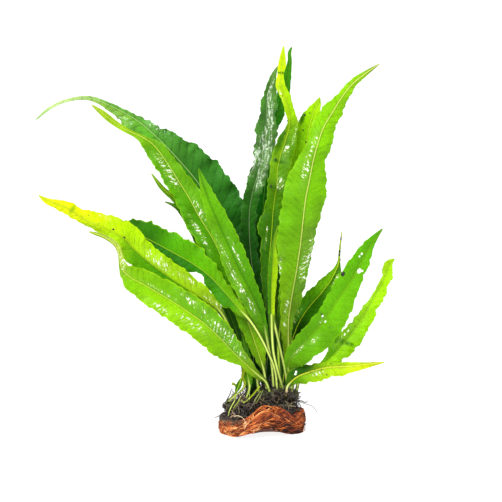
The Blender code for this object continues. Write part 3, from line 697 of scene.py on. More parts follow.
# Wet fern roots, nearly black with a dull shine, and the wiry brown ones that have dried
ROOT_THREAD = StrandFinish(
    "wet_fern_root",
    ((0.0, "#0C0806"), (0.26, "#2A1E18"), (0.5, "#544238"), (0.66, "#66603A"), (0.8, "#94765A"),
     (1.0, "#D8C09A")),
    0.5, 0.3,
)
ROOT_FELT = FeltFinish(
    "matted_fern_root",
    ((0.3, "#040302"), (0.6, "#170E08"), (0.8, "#322214")),
    1.2, (1.0, 1.0, 0.5), 0.62, 0.7,
)
# Fern rhizome: dark olive bark with brown scales
RHIZOME_BARK = FeltFinish(
    "fern_rhizome_bark",
    ((0.25, "#0E0B05"), (0.5, "#2D2A10"), (0.75, "#5B5424")),
    2.2, (1.0, 1.0, 1.0), 0.48, 0.5,
)


# Pad, roots and creeping stems


@dataclass(frozen=True)
class CoirPad:
    """The mat of coconut fibre: its plan, the bend of its faces, and the strands that it is made of."""

    half_length: float = 24.0
    half_width: float = 18.0
    yaw: float = math.radians(30.0)
    centre: tuple[float, float] = (0.0, -3.0)
    corner_power: float = 3.0
    thickness: float = 11.5
    rim_bulge: float = 1.2
    lip: float = 7.0  # how far the fibre climbs over the roots in the middle of the front
    mean_radius: float = 22.0  # turns a way round the pad into mm
    side_locks: int = 150
    strands_a_lock: int = 8
    face_strands: int = 500
    frayed_strands: int = 150
    strand_points: int = 13
    strand_radii: tuple[float, float] = (0.13, 0.34)
    around: int = 240  # points of the mat's skin once round
    rim_foot: float = 0.975  # share of the plan from which the rim bulges
    seed: int = 11

    def plan(self, turn: Array, share: Any, power: float = 0.0) -> tuple[Array, Array]:
        """Where a direction from the middle meets the rounded plan, or a share of the way there.

        Args:
            turn: Angles round the pad.
            share: How far out, 1 on the edge.
            power: Squareness of the corners, the pad's own where it is 0.

        Returns:
            Places x and y in mm.
        """
        power = power or self.corner_power
        radius = (np.abs(np.cos(turn)) ** power + np.abs(np.sin(turn)) ** power) ** (-1 / power) * share
        a = radius * np.cos(turn) * self.half_length
        b = radius * np.sin(turn) * self.half_width
        return (self.centre[0] + a * math.cos(self.yaw) - b * math.sin(self.yaw),
                self.centre[1] + a * math.sin(self.yaw) + b * math.cos(self.yaw))

    def shares(self, x: Array, y: Array) -> tuple[Array, Array]:
        """How far along and across the pad places in mm are, from -1 to 1."""
        dx, dy = x - self.centre[0], y - self.centre[1]
        return ((dx * math.cos(self.yaw) + dy * math.sin(self.yaw)) / self.half_length,
                (-dx * math.sin(self.yaw) + dy * math.cos(self.yaw)) / self.half_width)

    def underside(self, x: Array, y: Array) -> Array:
        """Height of the underside at places in mm: flat, with a small arch in the middle of the front."""
        along, across = self.shares(x, y)
        return 5.6 * hump(along, -0.33, 0.5) * np.clip((-across - 0.1) / 0.6, 0.0, 1.0)

    def outward(self, x: Array, y: Array) -> Array:
        """The level way from the middle of the pad to places in mm, at length one."""
        return unit(stacked(x - self.centre[0], y - self.centre[1]))

    def top(self, x: Array, y: Array) -> Array:
        """Height of the upper face, which follows the bend of the mat.

        Args:
            x: Places to the right.
            y: Places to the back.

        Returns:
            Heights in mm.
        """
        along, across = self.shares(x, y)
        crown = 3.5 * hump(along, 0.05, 0.4)
        dip = 1.4 * hump(along, 0.6, 0.25) * np.maximum(-across, 0.0)
        curl = 0.9 * np.sin(3.1 * along + 1.0) * np.sin(2.3 * across + 0.4)
        return self.thickness + 1.6 * along + crown - dip + curl

    def kept(self, x: Array, y: Array, limit: float) -> tuple[Array, Array, Array]:
        """Pulls places that lie too far out back to the pad's edge.

        Args:
            x: Places to the right.
            y: Places to the back.
            limit: How far out a place may lie, 1 on the edge.

        Returns:
            The places x and y, and how far beyond the edge each lay.
        """
        reach = rounded_reach(*self.shares(x, y), self.corner_power)
        pull = np.minimum(limit / np.maximum(reach, 0.01), 1.0)
        return (self.centre[0] + (x - self.centre[0]) * pull, self.centre[1] + (y - self.centre[1]) * pull,
                np.maximum(reach - 1.0, 0.0))

    def brim(self, x: Array, y: Array) -> Array:
        """Height of the mat's edge, with the lip that climbs over the roots in front.

        Args:
            x: Places to the right.
            y: Places to the back.

        Returns:
            Heights in mm.
        """
        along, across = self.shares(x, y)
        climb = hump(along, -0.38, 0.33) + 0.3 * hump(along, 0.1, 0.25)
        return self.top(x, y) + self.lip * climb * rise(-across, 0.55, 0.9)

    def build(self) -> Piece:
        """Builds the mat with its strands.

        Returns:
            The mat's object.
        """
        rng = np.random.default_rng(self.seed)
        turn = circle(self.around)
        wobble = sway(turn * self.mean_radius, 9.0, rng)
        rings = []
        for share in (0.03, 0.3, 0.6, 0.85, 0.95):
            x, y = self.plan(turn, share)
            rings.append(stacked(x, y, self.underside(x, y)))
        for step in np.linspace(0.0, 1.0, 9):
            swell = self.rim_bulge * (math.sin(math.pi * step) ** 0.7) * (0.75 + 0.35 * wobble)
            x, y = self.plan(turn, self.rim_foot)
            out = self.outward(x, y)
            low = self.underside(x, y) + 0.35
            high = self.brim(x, y) - 0.3
            drift = 0.25 * sway(turn * self.mean_radius + 7 * step, 5.0, rng)
            x = x + out[:, 0] * (swell + drift)
            y = y + out[:, 1] * (swell + drift)
            rings.append(stacked(x, y, low + (high - low) * step))
        for share in np.linspace(0.95, 0.03, 16):
            x, y = self.plan(turn, share)
            lumps = 0.3 * np.sin(0.9 * x + 0.4 * y) * np.sin(1.1 * y - 0.2 * x)
            rings.append(stacked(x, y, self.brim(x, y) + lumps - 0.2))
        mat = make_mesh("coir_mat", *closed_skin(np.array(rings)), sharp_from=SOFT_EDGE)
        hand_over(mat, COIR_FELT.dress(), "coir_pad")
        hand_over(self._strands(rng), COIR_FIBRE.dress(), "coir_pad")
        return mat

    def _strands(self, rng: Draws) -> Piece:
        """Lays the wavy strands round the sides and over the top.

        Args:
            rng: Source of their places.

        Returns:
            One object of all strands.
        """
        step = np.linspace(0.0, 1.0, self.strand_points)
        lines = np.concatenate([self._side_lines(rng, step), self._face_lines(rng, step)])
        thick = rng.uniform(*self.strand_radii, len(lines))[:, None] * (1.0 - 0.65 * step ** 4)
        loose = self.face_strands + self.frayed_strands
        lock = np.repeat(rng.beta(1.3, 1.4, self.side_locks), self.strands_a_lock)
        tints = np.concatenate([lock, rng.beta(1.6, 1.6, loose)]) + rng.uniform(-0.18, 0.18, len(lines))
        right_end_darkening = 0.34 * rise(lines[:, self.strand_points // 2, 0], -2.0, 14.0)  # the right end is darker
        return strands("coir_strands", lines, thick, np.clip(tints + 0.08 - right_end_darkening, 0.0, 1.0))

    def _side_lines(self, rng: Draws, step: Array) -> Array:
        """Strands that flow round the sides in wavy locks, and single frayed ends that stand off.

        Args:
            rng: Source of their places.
            step: Shares of a strand's length at its points.

        Returns:
            Array of strands, points and x, y and z.
        """
        locked = self.side_locks * self.strands_a_lock
        total = locked + self.frayed_strands
        draws = rng.uniform(0.0, 1.0, (5, self.side_locks + self.frayed_strands, 1))
        repeats = [self.strands_a_lock] * self.side_locks + [1] * self.frayed_strands
        start, run, level, tilt, pace = np.repeat(draws, repeats, axis=1)
        level = level + rng.normal(0.0, 0.035, (total, 1))
        turn = TURN * start + rng.normal(0.0, 0.04, (total, 1))
        turn = turn + (0.3 + 0.7 * run) * np.sign(tilt - 0.5) * step
        swing = 0.13 * np.sin(step * (4 + 6 * pace) + 40 * start + rng.normal(0.0, 0.25, (total, 1)))
        height = np.clip(level + 0.35 * (tilt - 0.5) * (step - 0.5) + swing, 0.0, 1.0)
        x, y = self.plan(turn, self.rim_foot)
        out = self.outward(x, y)
        off = self.rim_bulge * np.sin(math.pi * np.clip(height, 0.02, 0.98)) ** 0.7
        off = off + rng.uniform(-0.25, 0.75, (total, 1)) + 0.3 * np.sin(step * (6 + 8 * run) + 17 * start)
        frayed = (np.arange(total) >= locked)[:, None]
        flight = frayed * (0.6 + 1.6 * pace) * np.maximum(step - 0.55, 0.0) ** 1.5 * 3.0
        off = off + flight
        low, high = self.underside(x, y) + 0.2, self.brim(x, y) + 0.1
        z = low + (high - low) * height - flight * (1.3 * level - 0.5)
        return stacked(x + out[..., 0] * off, y + out[..., 1] * off, np.maximum(z, 0.3))

    def _face_lines(self, rng: Draws, step: Array) -> Array:
        """Strands that wander over the upper face and bend down past its edge.

        Args:
            rng: Source of their places.
            step: Shares of a strand's length at its points.

        Returns:
            Array of strands, points and x, y and z.
        """
        spot, out, way, bend, pace = rng.uniform(0.0, 1.0, (5, self.face_strands, 1))
        x, y = self.plan(TURN * spot, np.sqrt(0.35 + 0.63 * out))
        heading = TURN * way + 0.9 * np.sin(step * (2 + 5 * bend) + 55 * spot)
        x = x + np.cumsum(np.cos(heading) * (0.6 + pace), axis=1)
        y = y + np.cumsum(np.sin(heading) * (0.6 + pace), axis=1)
        x, y, beyond = self.kept(x, y, 1.03)
        z = self.brim(x, y) + 0.5 * bend - 1.2 * beyond * self.half_width
        return stacked(x, y, np.maximum(z, self.underside(x, y) + 0.3))


@dataclass(frozen=True)
class Rhizome:
    """One creeping stem: its line, its radius and its scars."""

    node: str
    line: tuple[Place, ...]
    radius: float
    scar: float = 0.07
    scar_turns: float = 23.0
    samples: int = 60  # places on the line among which stalks and roots find their own
    steps: int = 80  # rings of the skin
    around: int = 36  # points of a ring

    def foot(self, x: float, y: float) -> float:
        """Height at which a stalk stands on this stem.

        Args:
            x: Place of the stalk to the right, in mm.
            y: Place of the stalk to the back, in mm.

        Returns:
            Height in mm.
        """
        rows, _ = curve_through(self.line, self.samples)
        away = np.hypot(rows[:, 0] - x, rows[:, 1] - y)
        nearest = int(np.argmin(away))
        girth = self.radius * self._ends(self.samples)[nearest]
        climb = math.sqrt(max(girth ** 2 - away[nearest] ** 2, 0.0)) * (1.0 + self.scar)
        return float(rows[nearest, 2] + climb + 0.1)

    @staticmethod
    def _ends(count: int) -> Array:
        """Share of the full radius at even places on the line, which falls off at both blunt ends."""
        share = np.linspace(0.0, 1.0, count)
        return np.sqrt(np.maximum(1.0 - (2 * share - 1) ** 24, 0.02))

    def build(self) -> Piece:
        """Builds the knobbly stem.

        Returns:
            The stem's object.
        """
        rng = np.random.default_rng(round(self.radius * 10))
        rows, length = curve_through(self.line, self.steps)
        tangents = unit(np.gradient(rows, axis=0))
        side = unit(np.cross(tangents, (0.0, 0.0, 1.0)))
        up = np.cross(side, tangents)
        share = np.linspace(0.0, 1.0, self.steps)
        scars = 1.0 + self.scar * np.sin(self.scar_turns * share + self.radius)
        radius = self.radius * self._ends(self.steps) * scars
        turns = circle(self.around)
        patchy = sway(share * length, 5.0, rng)[:, None]
        knobs = 0.05 * np.sin(5 * turns + 31 * share[:, None])
        knobs = knobs + 0.04 * np.sin(3 * turns - 19 * share[:, None]) * patchy
        wide = (radius[:, None] * (1.0 + knobs))[..., None]
        spokes = side[:, None] * np.cos(turns)[:, None] + up[:, None] * np.sin(turns)[:, None]
        skin = closed_skin(rows[:, None] + wide * spokes)
        stem = make_mesh(self.node.replace("rhizome", "stem"), *skin)
        hand_over(stem, RHIZOME_BARK.dress(), self.node)
        return stem


FRONT_STEM = Rhizome(
    "rhizome_front", ((-4.0, -9.0, 21.4), (5.0, -6.0, 23.2), (13.0, -2.5, 23.0), (21.0, 2.0, 21.0)), 3.7
)
LEFT_STEM = Rhizome("rhizome_left", ((-22.5, -15.0, 17.2), (-16.0, -12.5, 18.2), (-8.5, -11.0, 19.6)), 2.7)
BACK_STEM = Rhizome("rhizome_back", ((-10.0, 1.5, 21.0), (1.0, 6.0, 22.4), (13.6, 10.6, 21.4)), 3.4)
STEMS = (FRONT_STEM, LEFT_STEM, BACK_STEM)


@dataclass(frozen=True)
class RootMass:
    """The felted roots between the pad and the stems, with short curly hairs and longer wiry threads."""

    pad: CoirPad
    share: float = 0.9
    corner_power: float = 2.5
    mound: float = 3.4
    edge: float = 1.6
    mean_radius: float = 20.0  # turns a way round the mound into mm
    hairs: int = 1700
    hair_points: int = 8
    hair_lengths: tuple[float, float] = (2.5, 7.0)
    hair_radii: tuple[float, float] = (0.09, 0.22)
    hanging: int = 420  # hairs over the left end of the pad
    threads: int = 620
    thread_points: int = 16
    thread_lengths: tuple[float, float] = (6.0, 15.0)
    thread_radii: tuple[float, float] = (0.2, 0.58)
    around: int = 200  # points of the mound's skin once round
    seed: int = 5

    def top(self, x: Array, y: Array) -> Array:
        """Height of the mound's upper face.

        Args:
            x: Places to the right.
            y: Places to the back.

        Returns:
            Heights in mm.
        """
        reach = rounded_reach(*self.pad.shares(x, y), self.corner_power)
        reach = np.minimum(reach / self.share, 1.0)
        lumps = 1.1 * np.sin(0.71 * x + 1.3) * np.sin(0.83 * y) + 0.5 * np.sin(1.9 * x - 1.2 * y)
        depth = np.maximum(self.mound * (1.0 - reach ** 4) + self.edge + lumps, 1.2)
        return self.pad.top(x, y) + 0.4 + depth

    def build(self) -> Piece:
        """Builds the mound with its hairs and threads.

        Returns:
            The mound's object.
        """
        rng = np.random.default_rng(self.seed)
        turn = circle(self.around)
        ragged = 1.0 + 0.02 * sway(turn * self.mean_radius, 3.5, rng)
        rings = []
        for share in (0.03, 0.5, 0.95):
            x, y = self.pad.plan(turn, share * self.share, self.corner_power)
            rings.append(stacked(x, y, self.pad.top(x, y) + 0.3))
        for share in np.linspace(1.0, 0.03, 26):
            x, y = self.pad.plan(turn, share * self.share * ragged, self.corner_power)
            lumps = 0.35 * np.sin(2.3 * x + 0.7 * y) * np.sin(2.9 * y - 0.8 * x)
            rings.append(stacked(x, y, self.top(x, y) + lumps))
        mound = make_mesh("root_felt", *closed_skin(np.array(rings)), sharp_from=SOFT_EDGE)
        hand_over(mound, ROOT_FELT.dress(), "root_clump")
        thread = ROOT_THREAD.dress()
        for piece in (self._hairs(rng), self._threads(rng), self._placed()):
            hand_over(piece, thread, "root_clump")
        hand_over(self._shoots(), YOUNG_SHOOT.dress(), "stalk_cut_left")
        return mound

    def _starts(self, rng: Draws, number: int) -> tuple[Array, Array]:
        """Places on the mound and on the stems that roots grow from, and the way they leave.

        Args:
            rng: Source of the places.
            number: How many.

        Returns:
            Places in mm and unit directions.
        """
        on_mound = number // 2
        turn = rng.uniform(0.0, TURN, on_mound)
        share = self.share * np.sqrt(rng.uniform(0.0, 1.0, on_mound))
        x, y = self.pad.plan(turn, share, self.corner_power)
        out = stacked(x - self.pad.centre[0], y - self.pad.centre[1]) / self.mean_radius
        spots = [np.column_stack([x, y, self.top(x, y)])]
        ways = [np.column_stack([out, rng.uniform(0.1, 0.9, on_mound)])]
        for stem in STEMS:
            rows, _ = curve_through(stem.line, stem.samples)
            middle = rows[rng.integers(1, stem.samples - 1, (number - on_mound) // len(STEMS))]
            around = unit(rng.normal(0.0, 1.0, middle.shape) * (1.0, 1.0, 0.7))
            spots.append(middle + around * stem.radius * 0.95)
            ways.append(around * (1.0, 1.0, 0.5))
        places = np.vstack(spots)
        return places, unit(np.vstack(ways) + rng.normal(0.0, 0.45, places.shape))

    def _grow(self, rng: Draws, number: int, reach: tuple[float, float], curl: float, count: int) -> Array:
        """Lets strands wander from the mound and the stems and settle on the pad.

        Args:
            rng: Source of their ways.
            number: How many strands.
            reach: Least and greatest length in mm.
            curl: How much they turn from step to step.
            count: Points in a strand.

        Returns:
            Array of strands, points and x, y and z.
        """
        spots, way = self._starts(rng, number)
        length = rng.uniform(*reach, (len(spots), 1))
        drift = rng.normal(0.0, 1.0, spots.shape) * curl
        lines = [spots - way * 0.4]
        for _ in range(count - 1):
            drift = 0.75 * drift + rng.normal(0.0, 1.0, spots.shape) * curl * 0.6
            way = unit(way + drift - (0.0, 0.0, 0.1))
            spot = lines[-1] + way * length / (count - 1)
            lift = np.clip(spot[:, 2] - self.pad.top(spot[:, 0], spot[:, 1]), 0.0, 12.0)
            spot[:, 0], spot[:, 1], _ = self.pad.kept(spot[:, 0], spot[:, 1], 1.0 - 0.02 * lift)
            spot[:, 2] = np.maximum(spot[:, 2], self.pad.top(spot[:, 0], spot[:, 1]) + 0.3)
            lines.append(spot)
        return np.stack(lines, axis=1)

    def _hairs(self, rng: Draws) -> Piece:
        """The short curly hairs.

        Args:
            rng: Source of their ways.

        Returns:
            One object of all hairs.
        """
        curly = self._grow(rng, self.hairs, self.hair_lengths, 0.42, self.hair_points)
        lines = np.concatenate([curly, self._hanging(rng)])
        thick = rng.uniform(*self.hair_radii, (len(lines), 1)) * taper(self.hair_points, 0.6)
        return strands("root_hairs", lines, thick, rng.beta(1.3, 2.6, len(lines)))

    def _hanging(self, rng: Draws) -> Array:
        """Hairs that hang over the left end of the pad and hide its rim.

        Args:
            rng: Source of their ways.

        Returns:
            Array of hairs, points and x, y and z.
        """
        step = np.linspace(0.0, 1.0, self.hair_points)
        turn, way, fall, reach, pace = rng.uniform(0.0, 1.0, (5, self.hanging, 1))
        turn = 2.1 + 1.9 * turn + 0.5 * (way - 0.5) * step + 0.06 * np.sin(step * (5 + 7 * pace) + 30 * turn)
        share = np.minimum(0.78 + 0.12 * reach + 0.26 * step, 1.045)
        x, y = self.pad.plan(turn, share)
        over = np.maximum(share - 0.93, 0.0) / 0.115
        lift = 1.6 * (1.0 - over) * (0.3 + pace) + 0.25 * np.sin(step * (6 + 9 * way) + 50 * fall)
        return stacked(x, y, self.pad.top(x, y) + 0.3 + lift - 3.4 * fall ** 1.5 * over)

    def _threads(self, rng: Draws) -> Piece:
        """The longer wiry threads.

        Args:
            rng: Source of their ways.

        Returns:
            One object of all threads.
        """
        lines = self._grow(rng, self.threads, self.thread_lengths, 0.36, self.thread_points)
        thick = rng.uniform(*self.thread_radii, (len(lines), 1)) * taper(self.thread_points, 0.6)
        return strands("root_threads", lines, thick, rng.beta(1.0, 2.0, len(lines)), 5)

    def _placed(self) -> Piece:
        """The single roots that stand out: a pale loop on the left, and strays at both ends.

        Returns:
            One object of these roots.
        """
        routes = (
            ((-16.8, -23.0, 13.5), (-14.4, -25.0, 14.2), (-12.0, -26.3, 13.5), (-10.2, -27.2, 11.5),
             (-9.6, -27.4, 9.1), (-10.5, -27.2, 6.6)),
            ((-20.5, -17.0, 15.2), (-23.5, -18.0, 14.6), (-26.0, -18.6, 12.8), (-28.4, -18.0, 11.6)),
            ((17.5, 1.0, 23.4), (19.6, 1.2, 25.2), (21.2, 1.4, 26.6), (22.0, 1.6, 26.2)),
            ((22.0, 6.0, 16.8), (26.0, 6.4, 15.4), (30.6, 6.6, 13.6), (33.4, 6.8, 9.6)),
            ((-20.0, -14.0, 18.0), (-20.6, -14.4, 21.8), (-19.2, -14.6, 25.4), (-18.2, -14.8, 28.6)),
            ((-12.0, -13.0, 21.0), (-14.0, -13.6, 24.2), (-16.8, -13.8, 25.8), (-17.6, -14.0, 28.4)),
            ((-22.0, -16.0, 16.4), (-23.4, -16.4, 19.4), (-21.8, -16.6, 21.2), (-20.4, -16.4, 23.6)),
            ((20.0, 3.0, 17.4), (23.4, 3.2, 17.8), (25.8, 3.4, 16.8), (27.4, 3.6, 17.4)),
        )
        lines = np.stack([curve_through(route, 22)[0] for route in routes])
        widths = np.array((0.28, 0.42, 0.5, 0.22, 0.5, 0.3, 0.46, 0.5))[:, None]
        tints = np.array((0.98, 0.2, 0.5, 0.45, 0.15, 0.45, 0.12, 0.2))
        return strands("root_strays", lines, widths * taper(lines.shape[1], 0.55), tints, 6)

    def _shoots(self) -> Piece:
        """The thin young shoots among the roots on the left, drawn as the fronds are.

        Returns:
            One object of all shoots.
        """
        routes = (
            ((-20.0, 9.6, -14.0), (-19.6, 12.0, -16.2), (-18.0, 15.6, -16.4), (-16.2, 18.8, -16.0)),
            ((-17.4, 11.6, -13.2), (-17.0, 14.2, -15.6), (-14.7, 17.2, -16.2), (-13.1, 20.6, -15.8)),
            ((-15.8, 11.4, -13.0), (-15.4, 14.2, -15.4), (-14.0, 17.6, -16.0), (-12.4, 21.6, -15.4)),
            ((-5.2, 15.6, -12.0), (-4.6, 18.2, -15.2), (-2.7, 21.4, -15.6), (-0.6, 24.4, -15.0)),
            ((-4.2, 15.2, -12.4), (-3.2, 17.6, -15.6), (-1.2, 21.0, -16.0), (0.4, 24.8, -15.2)),
            ((-8.6, 14.6, -12.6), (-8.0, 17.2, -15.4), (-7.4, 20.2, -15.8), (-7.6, 24.0, -14.4)),
            ((17.0, 11.4, -3.0), (17.4, 13.0, -6.0), (17.3, 15.0, -6.6), (17.6, 17.2, -6.0)),
        )
        lines = np.stack([curve_through([drawn(*spot) for spot in route], 18)[0] for route in routes])
        widths = np.array((0.38, 0.3, 0.3, 0.3, 0.26, 0.26, 0.34))[:, None]
        tints = np.array((0.75, 0.6, 0.7, 0.55, 0.35, 0.3, 0.4))
        return strands("young_shoots", lines, widths * taper(lines.shape[1], 0.3), tints, 8)


# Fronds


@dataclass(frozen=True)
class BladeLines:
    """What a frond's sections are drawn on, one entry for each station from the foot to the tip."""

    places: Array
    along: Array  # distance from the foot in mm
    share: Array  # the same as a share of the length
    side: Array  # the way to the right
    face: Array  # the way to the viewer
    turn: Array  # turn about the midrib in radians
    fold: Array  # rise of both halves in radians
    spread: Array  # 0 where the frond is all stalk, 1 where it is all blade
    rib: Array  # radius of the stalk or of the midrib
    seen: Array  # widths that show to the left and to the right


@dataclass(frozen=True)
class Frond:
    """One frond with its stalk: where it grows, its midrib, the turn of its blade and its finish.

    A station of the path gives a place across and up the front drawing, its depth behind it, and how far the
    blade shows to the left and to the right of the midrib, as seen growing up from the root.
    """

    node: str
    stem: Rhizome
    base: tuple[float, float]
    path: tuple[Station, ...]
    finish: FernTissue
    roll: tuple[float, float] = (0.0, 0.0)  # turn about the midrib from foot to tip, right side forwards
    fold: float = 10.0  # how far both halves rise towards the viewer, degrees
    ruffle: float = 1.0  # height of the waves in the margin
    wave: float = 17.0  # length of one wave
    scallop: float = 1.0  # how far the margin swings in and out in its own plane
    wet_and_sheen: tuple[Spot, ...] = ()  # patches of drying water, glossy and with painted sheen and glints: share, mm across, half length and half width
    dim: tuple[Spot, ...] = ()  # patches that lie in shade, given in the same way
    drops: tuple[Bead, ...] = ()  # beads of water: share, mm across and radius
    specks: tuple[Bead, ...] = ()  # specks of decay, given in the same way
    scales: tuple[Bead, ...] = ()  # brown bud scales, given in the same way
    stalk_radius: float = 0.85
    tip_rib: float = 0.38
    blade_half: float = 0.2
    vein_spacing: float = 4.4
    vein_slant: float = 0.75
    quilt: float = 0.3  # height of the lobes between the side veins
    step: float = 1.0
    points: int = 14  # from the midrib to the margin
    stalk_width: float = 2.4  # up to this width a frond is all stalk
    widening: float = 4.0  # how much wider it is where it is all blade

    def _lines(self) -> BladeLines:
        """Works out the frond's stations and the frame of each.

        Returns:
            The lines that the sections are drawn on.
        """
        rows = [(*self.base, self.stem.foot(*self.base), self.stalk_radius, self.stalk_radius)]
        for across, up, depth, left, right in self.path:
            rows.append((*drawn(across, up, depth), left, right))
        _, length = curve_through(rows, 4)
        count = max(16, round(length / self.step) + 1)
        fine, length = curve_through(rows, count)
        fine = eased(fine, min(3, count // 6))
        share = np.linspace(0.0, 1.0, count)
        tangents = unit(np.gradient(fine[:, :3], axis=0))
        side = unit(np.cross(tangents, (0.0, -math.cos(VIEW_TILT), math.sin(VIEW_TILT))))
        face = np.cross(side, tangents)
        seen = np.maximum(fine[:, 3:5], 0.3)
        spread = np.clip((seen.sum(axis=1) - self.stalk_width) / self.widening, 0.0, 1.0)
        turn = np.radians(self.roll[0] + (self.roll[1] - self.roll[0]) * share) * spread
        rib = self.stalk_radius + (self.tip_rib - self.stalk_radius) * share
        return BladeLines(
            fine[:, :3], share * length, share, side, face, turn, math.radians(self.fold) * spread,
            spread, np.minimum(rib, 0.6 * seen.sum(axis=1)), seen,
        )

    def _half(self, lines: BladeLines, sign: int, rng: Draws) -> tuple[Array, Array, Array, Array]:
        """Draws one half of the blade from the midrib to the margin.

        Args:
            lines: The frond's stations.
            sign: 1 for the right half, -1 for the left half.
            rng: Source of its small irregularities.

        Returns:
            Points of the upper face, points of the lower face, distance from the midrib in mm, and the turn
            of the side veins.
        """
        cos_turn, sin_turn = np.cos(lines.turn)[:, None], np.sin(lines.turn)[:, None]
        turned_side = lines.side * cos_turn + lines.face * sin_turn
        turned_face = lines.face * cos_turn - lines.side * sin_turn
        out = turned_side * sign * np.cos(lines.fold)[:, None] + turned_face * np.sin(lines.fold)[:, None]
        seen = lines.seen[:, 1 if sign > 0 else 0]
        half = seen / np.maximum(np.cos(lines.turn + sign * lines.fold), 0.42)
        scallop = 0.5 * sway(lines.along, 8.5, rng) + 0.24 * sway(lines.along, 3.4, rng)
        half = half + self.scallop * scallop * lines.spread * np.minimum(half / 5.0, 1.0)
        # Three close rows carry the ridge of the midrib, and the others spread out to the margin
        near = stacked(np.zeros_like(half), np.minimum(0.45, 0.25 * half), np.minimum(1.05, 0.5 * half))
        far = (np.arange(1, self.points - 1) / (self.points - 2)) ** 0.92
        x = np.hstack([near, near[:, 2:] + (half[:, None] - near[:, 2:]) * far])
        q = x / half[:, None]
        spread = lines.spread[:, None]
        veins = (lines.along[:, None] - self.vein_slant * x) / self.vein_spacing
        veins = veins + 0.3 * sway(lines.along, 31.0, rng)[:, None] * q
        height = spread * self._relief(lines, half, q, veins, 0.0 if sign > 0 else 2.1, rng)
        lifted = turned_face[:, None] * height[..., None]
        middle = lines.places[:, None] + out[:, None] * x[..., None] + lifted
        thin = self.blade_half * np.sqrt(np.maximum(1.0 - q ** 5, 0.0))
        stalk = (1 - spread) * np.sqrt(np.maximum(1.0 - q ** 2, 0.0)) * lines.rib[:, None] * 0.95
        ridge = lines.rib[:, None] * hump(x, 0.0, 0.6)
        over = (stalk + spread * (thin + 0.4 * ridge))[..., None] * turned_face[:, None]
        under = (stalk + spread * (thin + 0.9 * ridge))[..., None] * turned_face[:, None]
        return middle + over, middle - under, x * sign, veins

    def _relief(
        self, lines: BladeLines, half: Array, q: Array, veins: Array, start: float, rng: Draws
    ) -> Array:
        """Height of the blade over its flat half: waved margin, arched middle and lobes between veins.

        Args:
            lines: The frond's stations.
            half: Width of this half at each station.
            q: How far out to the margin each point lies.
            veins: Turn of the side veins at each point.
            start: Where the margin's waves start.
            rng: Source of the irregular part.

        Returns:
            Heights in mm.
        """
        firm = np.minimum(half / 6.0, 1.0)[:, None]
        wave = np.sin(TURN * lines.along / self.wave + start)
        wave = wave + 0.45 * sway(lines.along, 0.55 * self.wave, rng)
        crimp = 0.38 * sway(lines.along, 5.2, rng)
        lobes = np.abs(np.sin(math.pi * veins)) ** 0.8 - 0.5
        patchy = 0.65 + 0.35 * sway(lines.along, 23.0, rng)[:, None]
        quilted = self.quilt * lobes * patchy * rise(q, 0.06, 0.3) * (1.0 - 0.5 * rise(q, 0.75, 1.0))
        margin = self.ruffle * (wave[:, None] * q ** 2 + crimp[:, None] * q ** 4)
        return firm * (margin + quilted) + 0.05 * half[:, None] * np.sin(math.pi * q)

    def build(self) -> Piece:
        """Builds the frond as one closed body that carries the values its finish reads.

        Returns:
            The frond's object.
        """
        # Each frond's seed comes from its own name
        rng = np.random.default_rng(sum(ord(letter) * (1 + n) for n, letter in enumerate(self.node)))
        lines = self._lines()
        r_top, r_low, r_x, r_veins = self._half(lines, 1, rng)
        l_top, l_low, l_x, l_veins = self._half(lines, -1, rng)
        rings = self._around(r_top, l_top, l_low, r_low)
        across = self._around(r_x, l_x, l_x, r_x)
        r_reach, l_reach = r_x / r_x[:, -1:], l_x / l_x[:, -1:]
        along = np.broadcast_to(lines.along[:, None], across.shape)
        stalk = ((1.0 - lines.spread) * (lines.share < 0.5))[:, None]
        values = {
            "share": lines.share[:, None],
            "vein_turn": self._around(r_veins, l_veins, l_veins, r_veins),
            "margin_reach": self._around(r_reach, l_reach, l_reach, r_reach),
            "stalk": stalk,
        }
        # Patches of water, which gloss the coat and carry painted sheen and painted glints, and patches of
        # painted shade
        for name, spots in (("wet_and_sheen", self.wet_and_sheen), ("dim", self.dim)):
            values[name] = np.zeros_like(across)
            for share, off, long, wide in spots:
                spot = ((along - share * lines.along[-1]) / long) ** 2 + ((across - off) / wide) ** 2
                values[name] = np.maximum(values[name], np.exp(-spot ** 2))
        # Each leaf takes its own layer of the noise, far from the others
        blade = stacked(across, along, np.full_like(across, 37.0 * rng.uniform(0.0, 9.0)))
        marks = {name: self._by_point(np.broadcast_to(v, across.shape)) for name, v in values.items()}
        marks["blade_mm"] = self._by_point(blade)
        name = "leaf_" + self.node.removeprefix("frond_")
        leaf = make_mesh(name, *closed_skin(rings), values=marks, sharp_from=SOFT_EDGE)
        hand_over(leaf, self.finish.dress("wet_fern_leaf_" + self.node), self.node)
        halves = {1: (r_top, r_x), -1: (l_top, -l_x)}
        kinds = (("drops", self.drops, WATER_DROP), ("specks", self.specks, DECAY_SPECK),
                 ("scales", self.scales, BUD_SCALE))
        for kind, spots, finish in kinds:
            if spots:
                beads = self._beads(kind, spots, halves)
                hand_over(beads, finish.dress(), self.node)
        return leaf

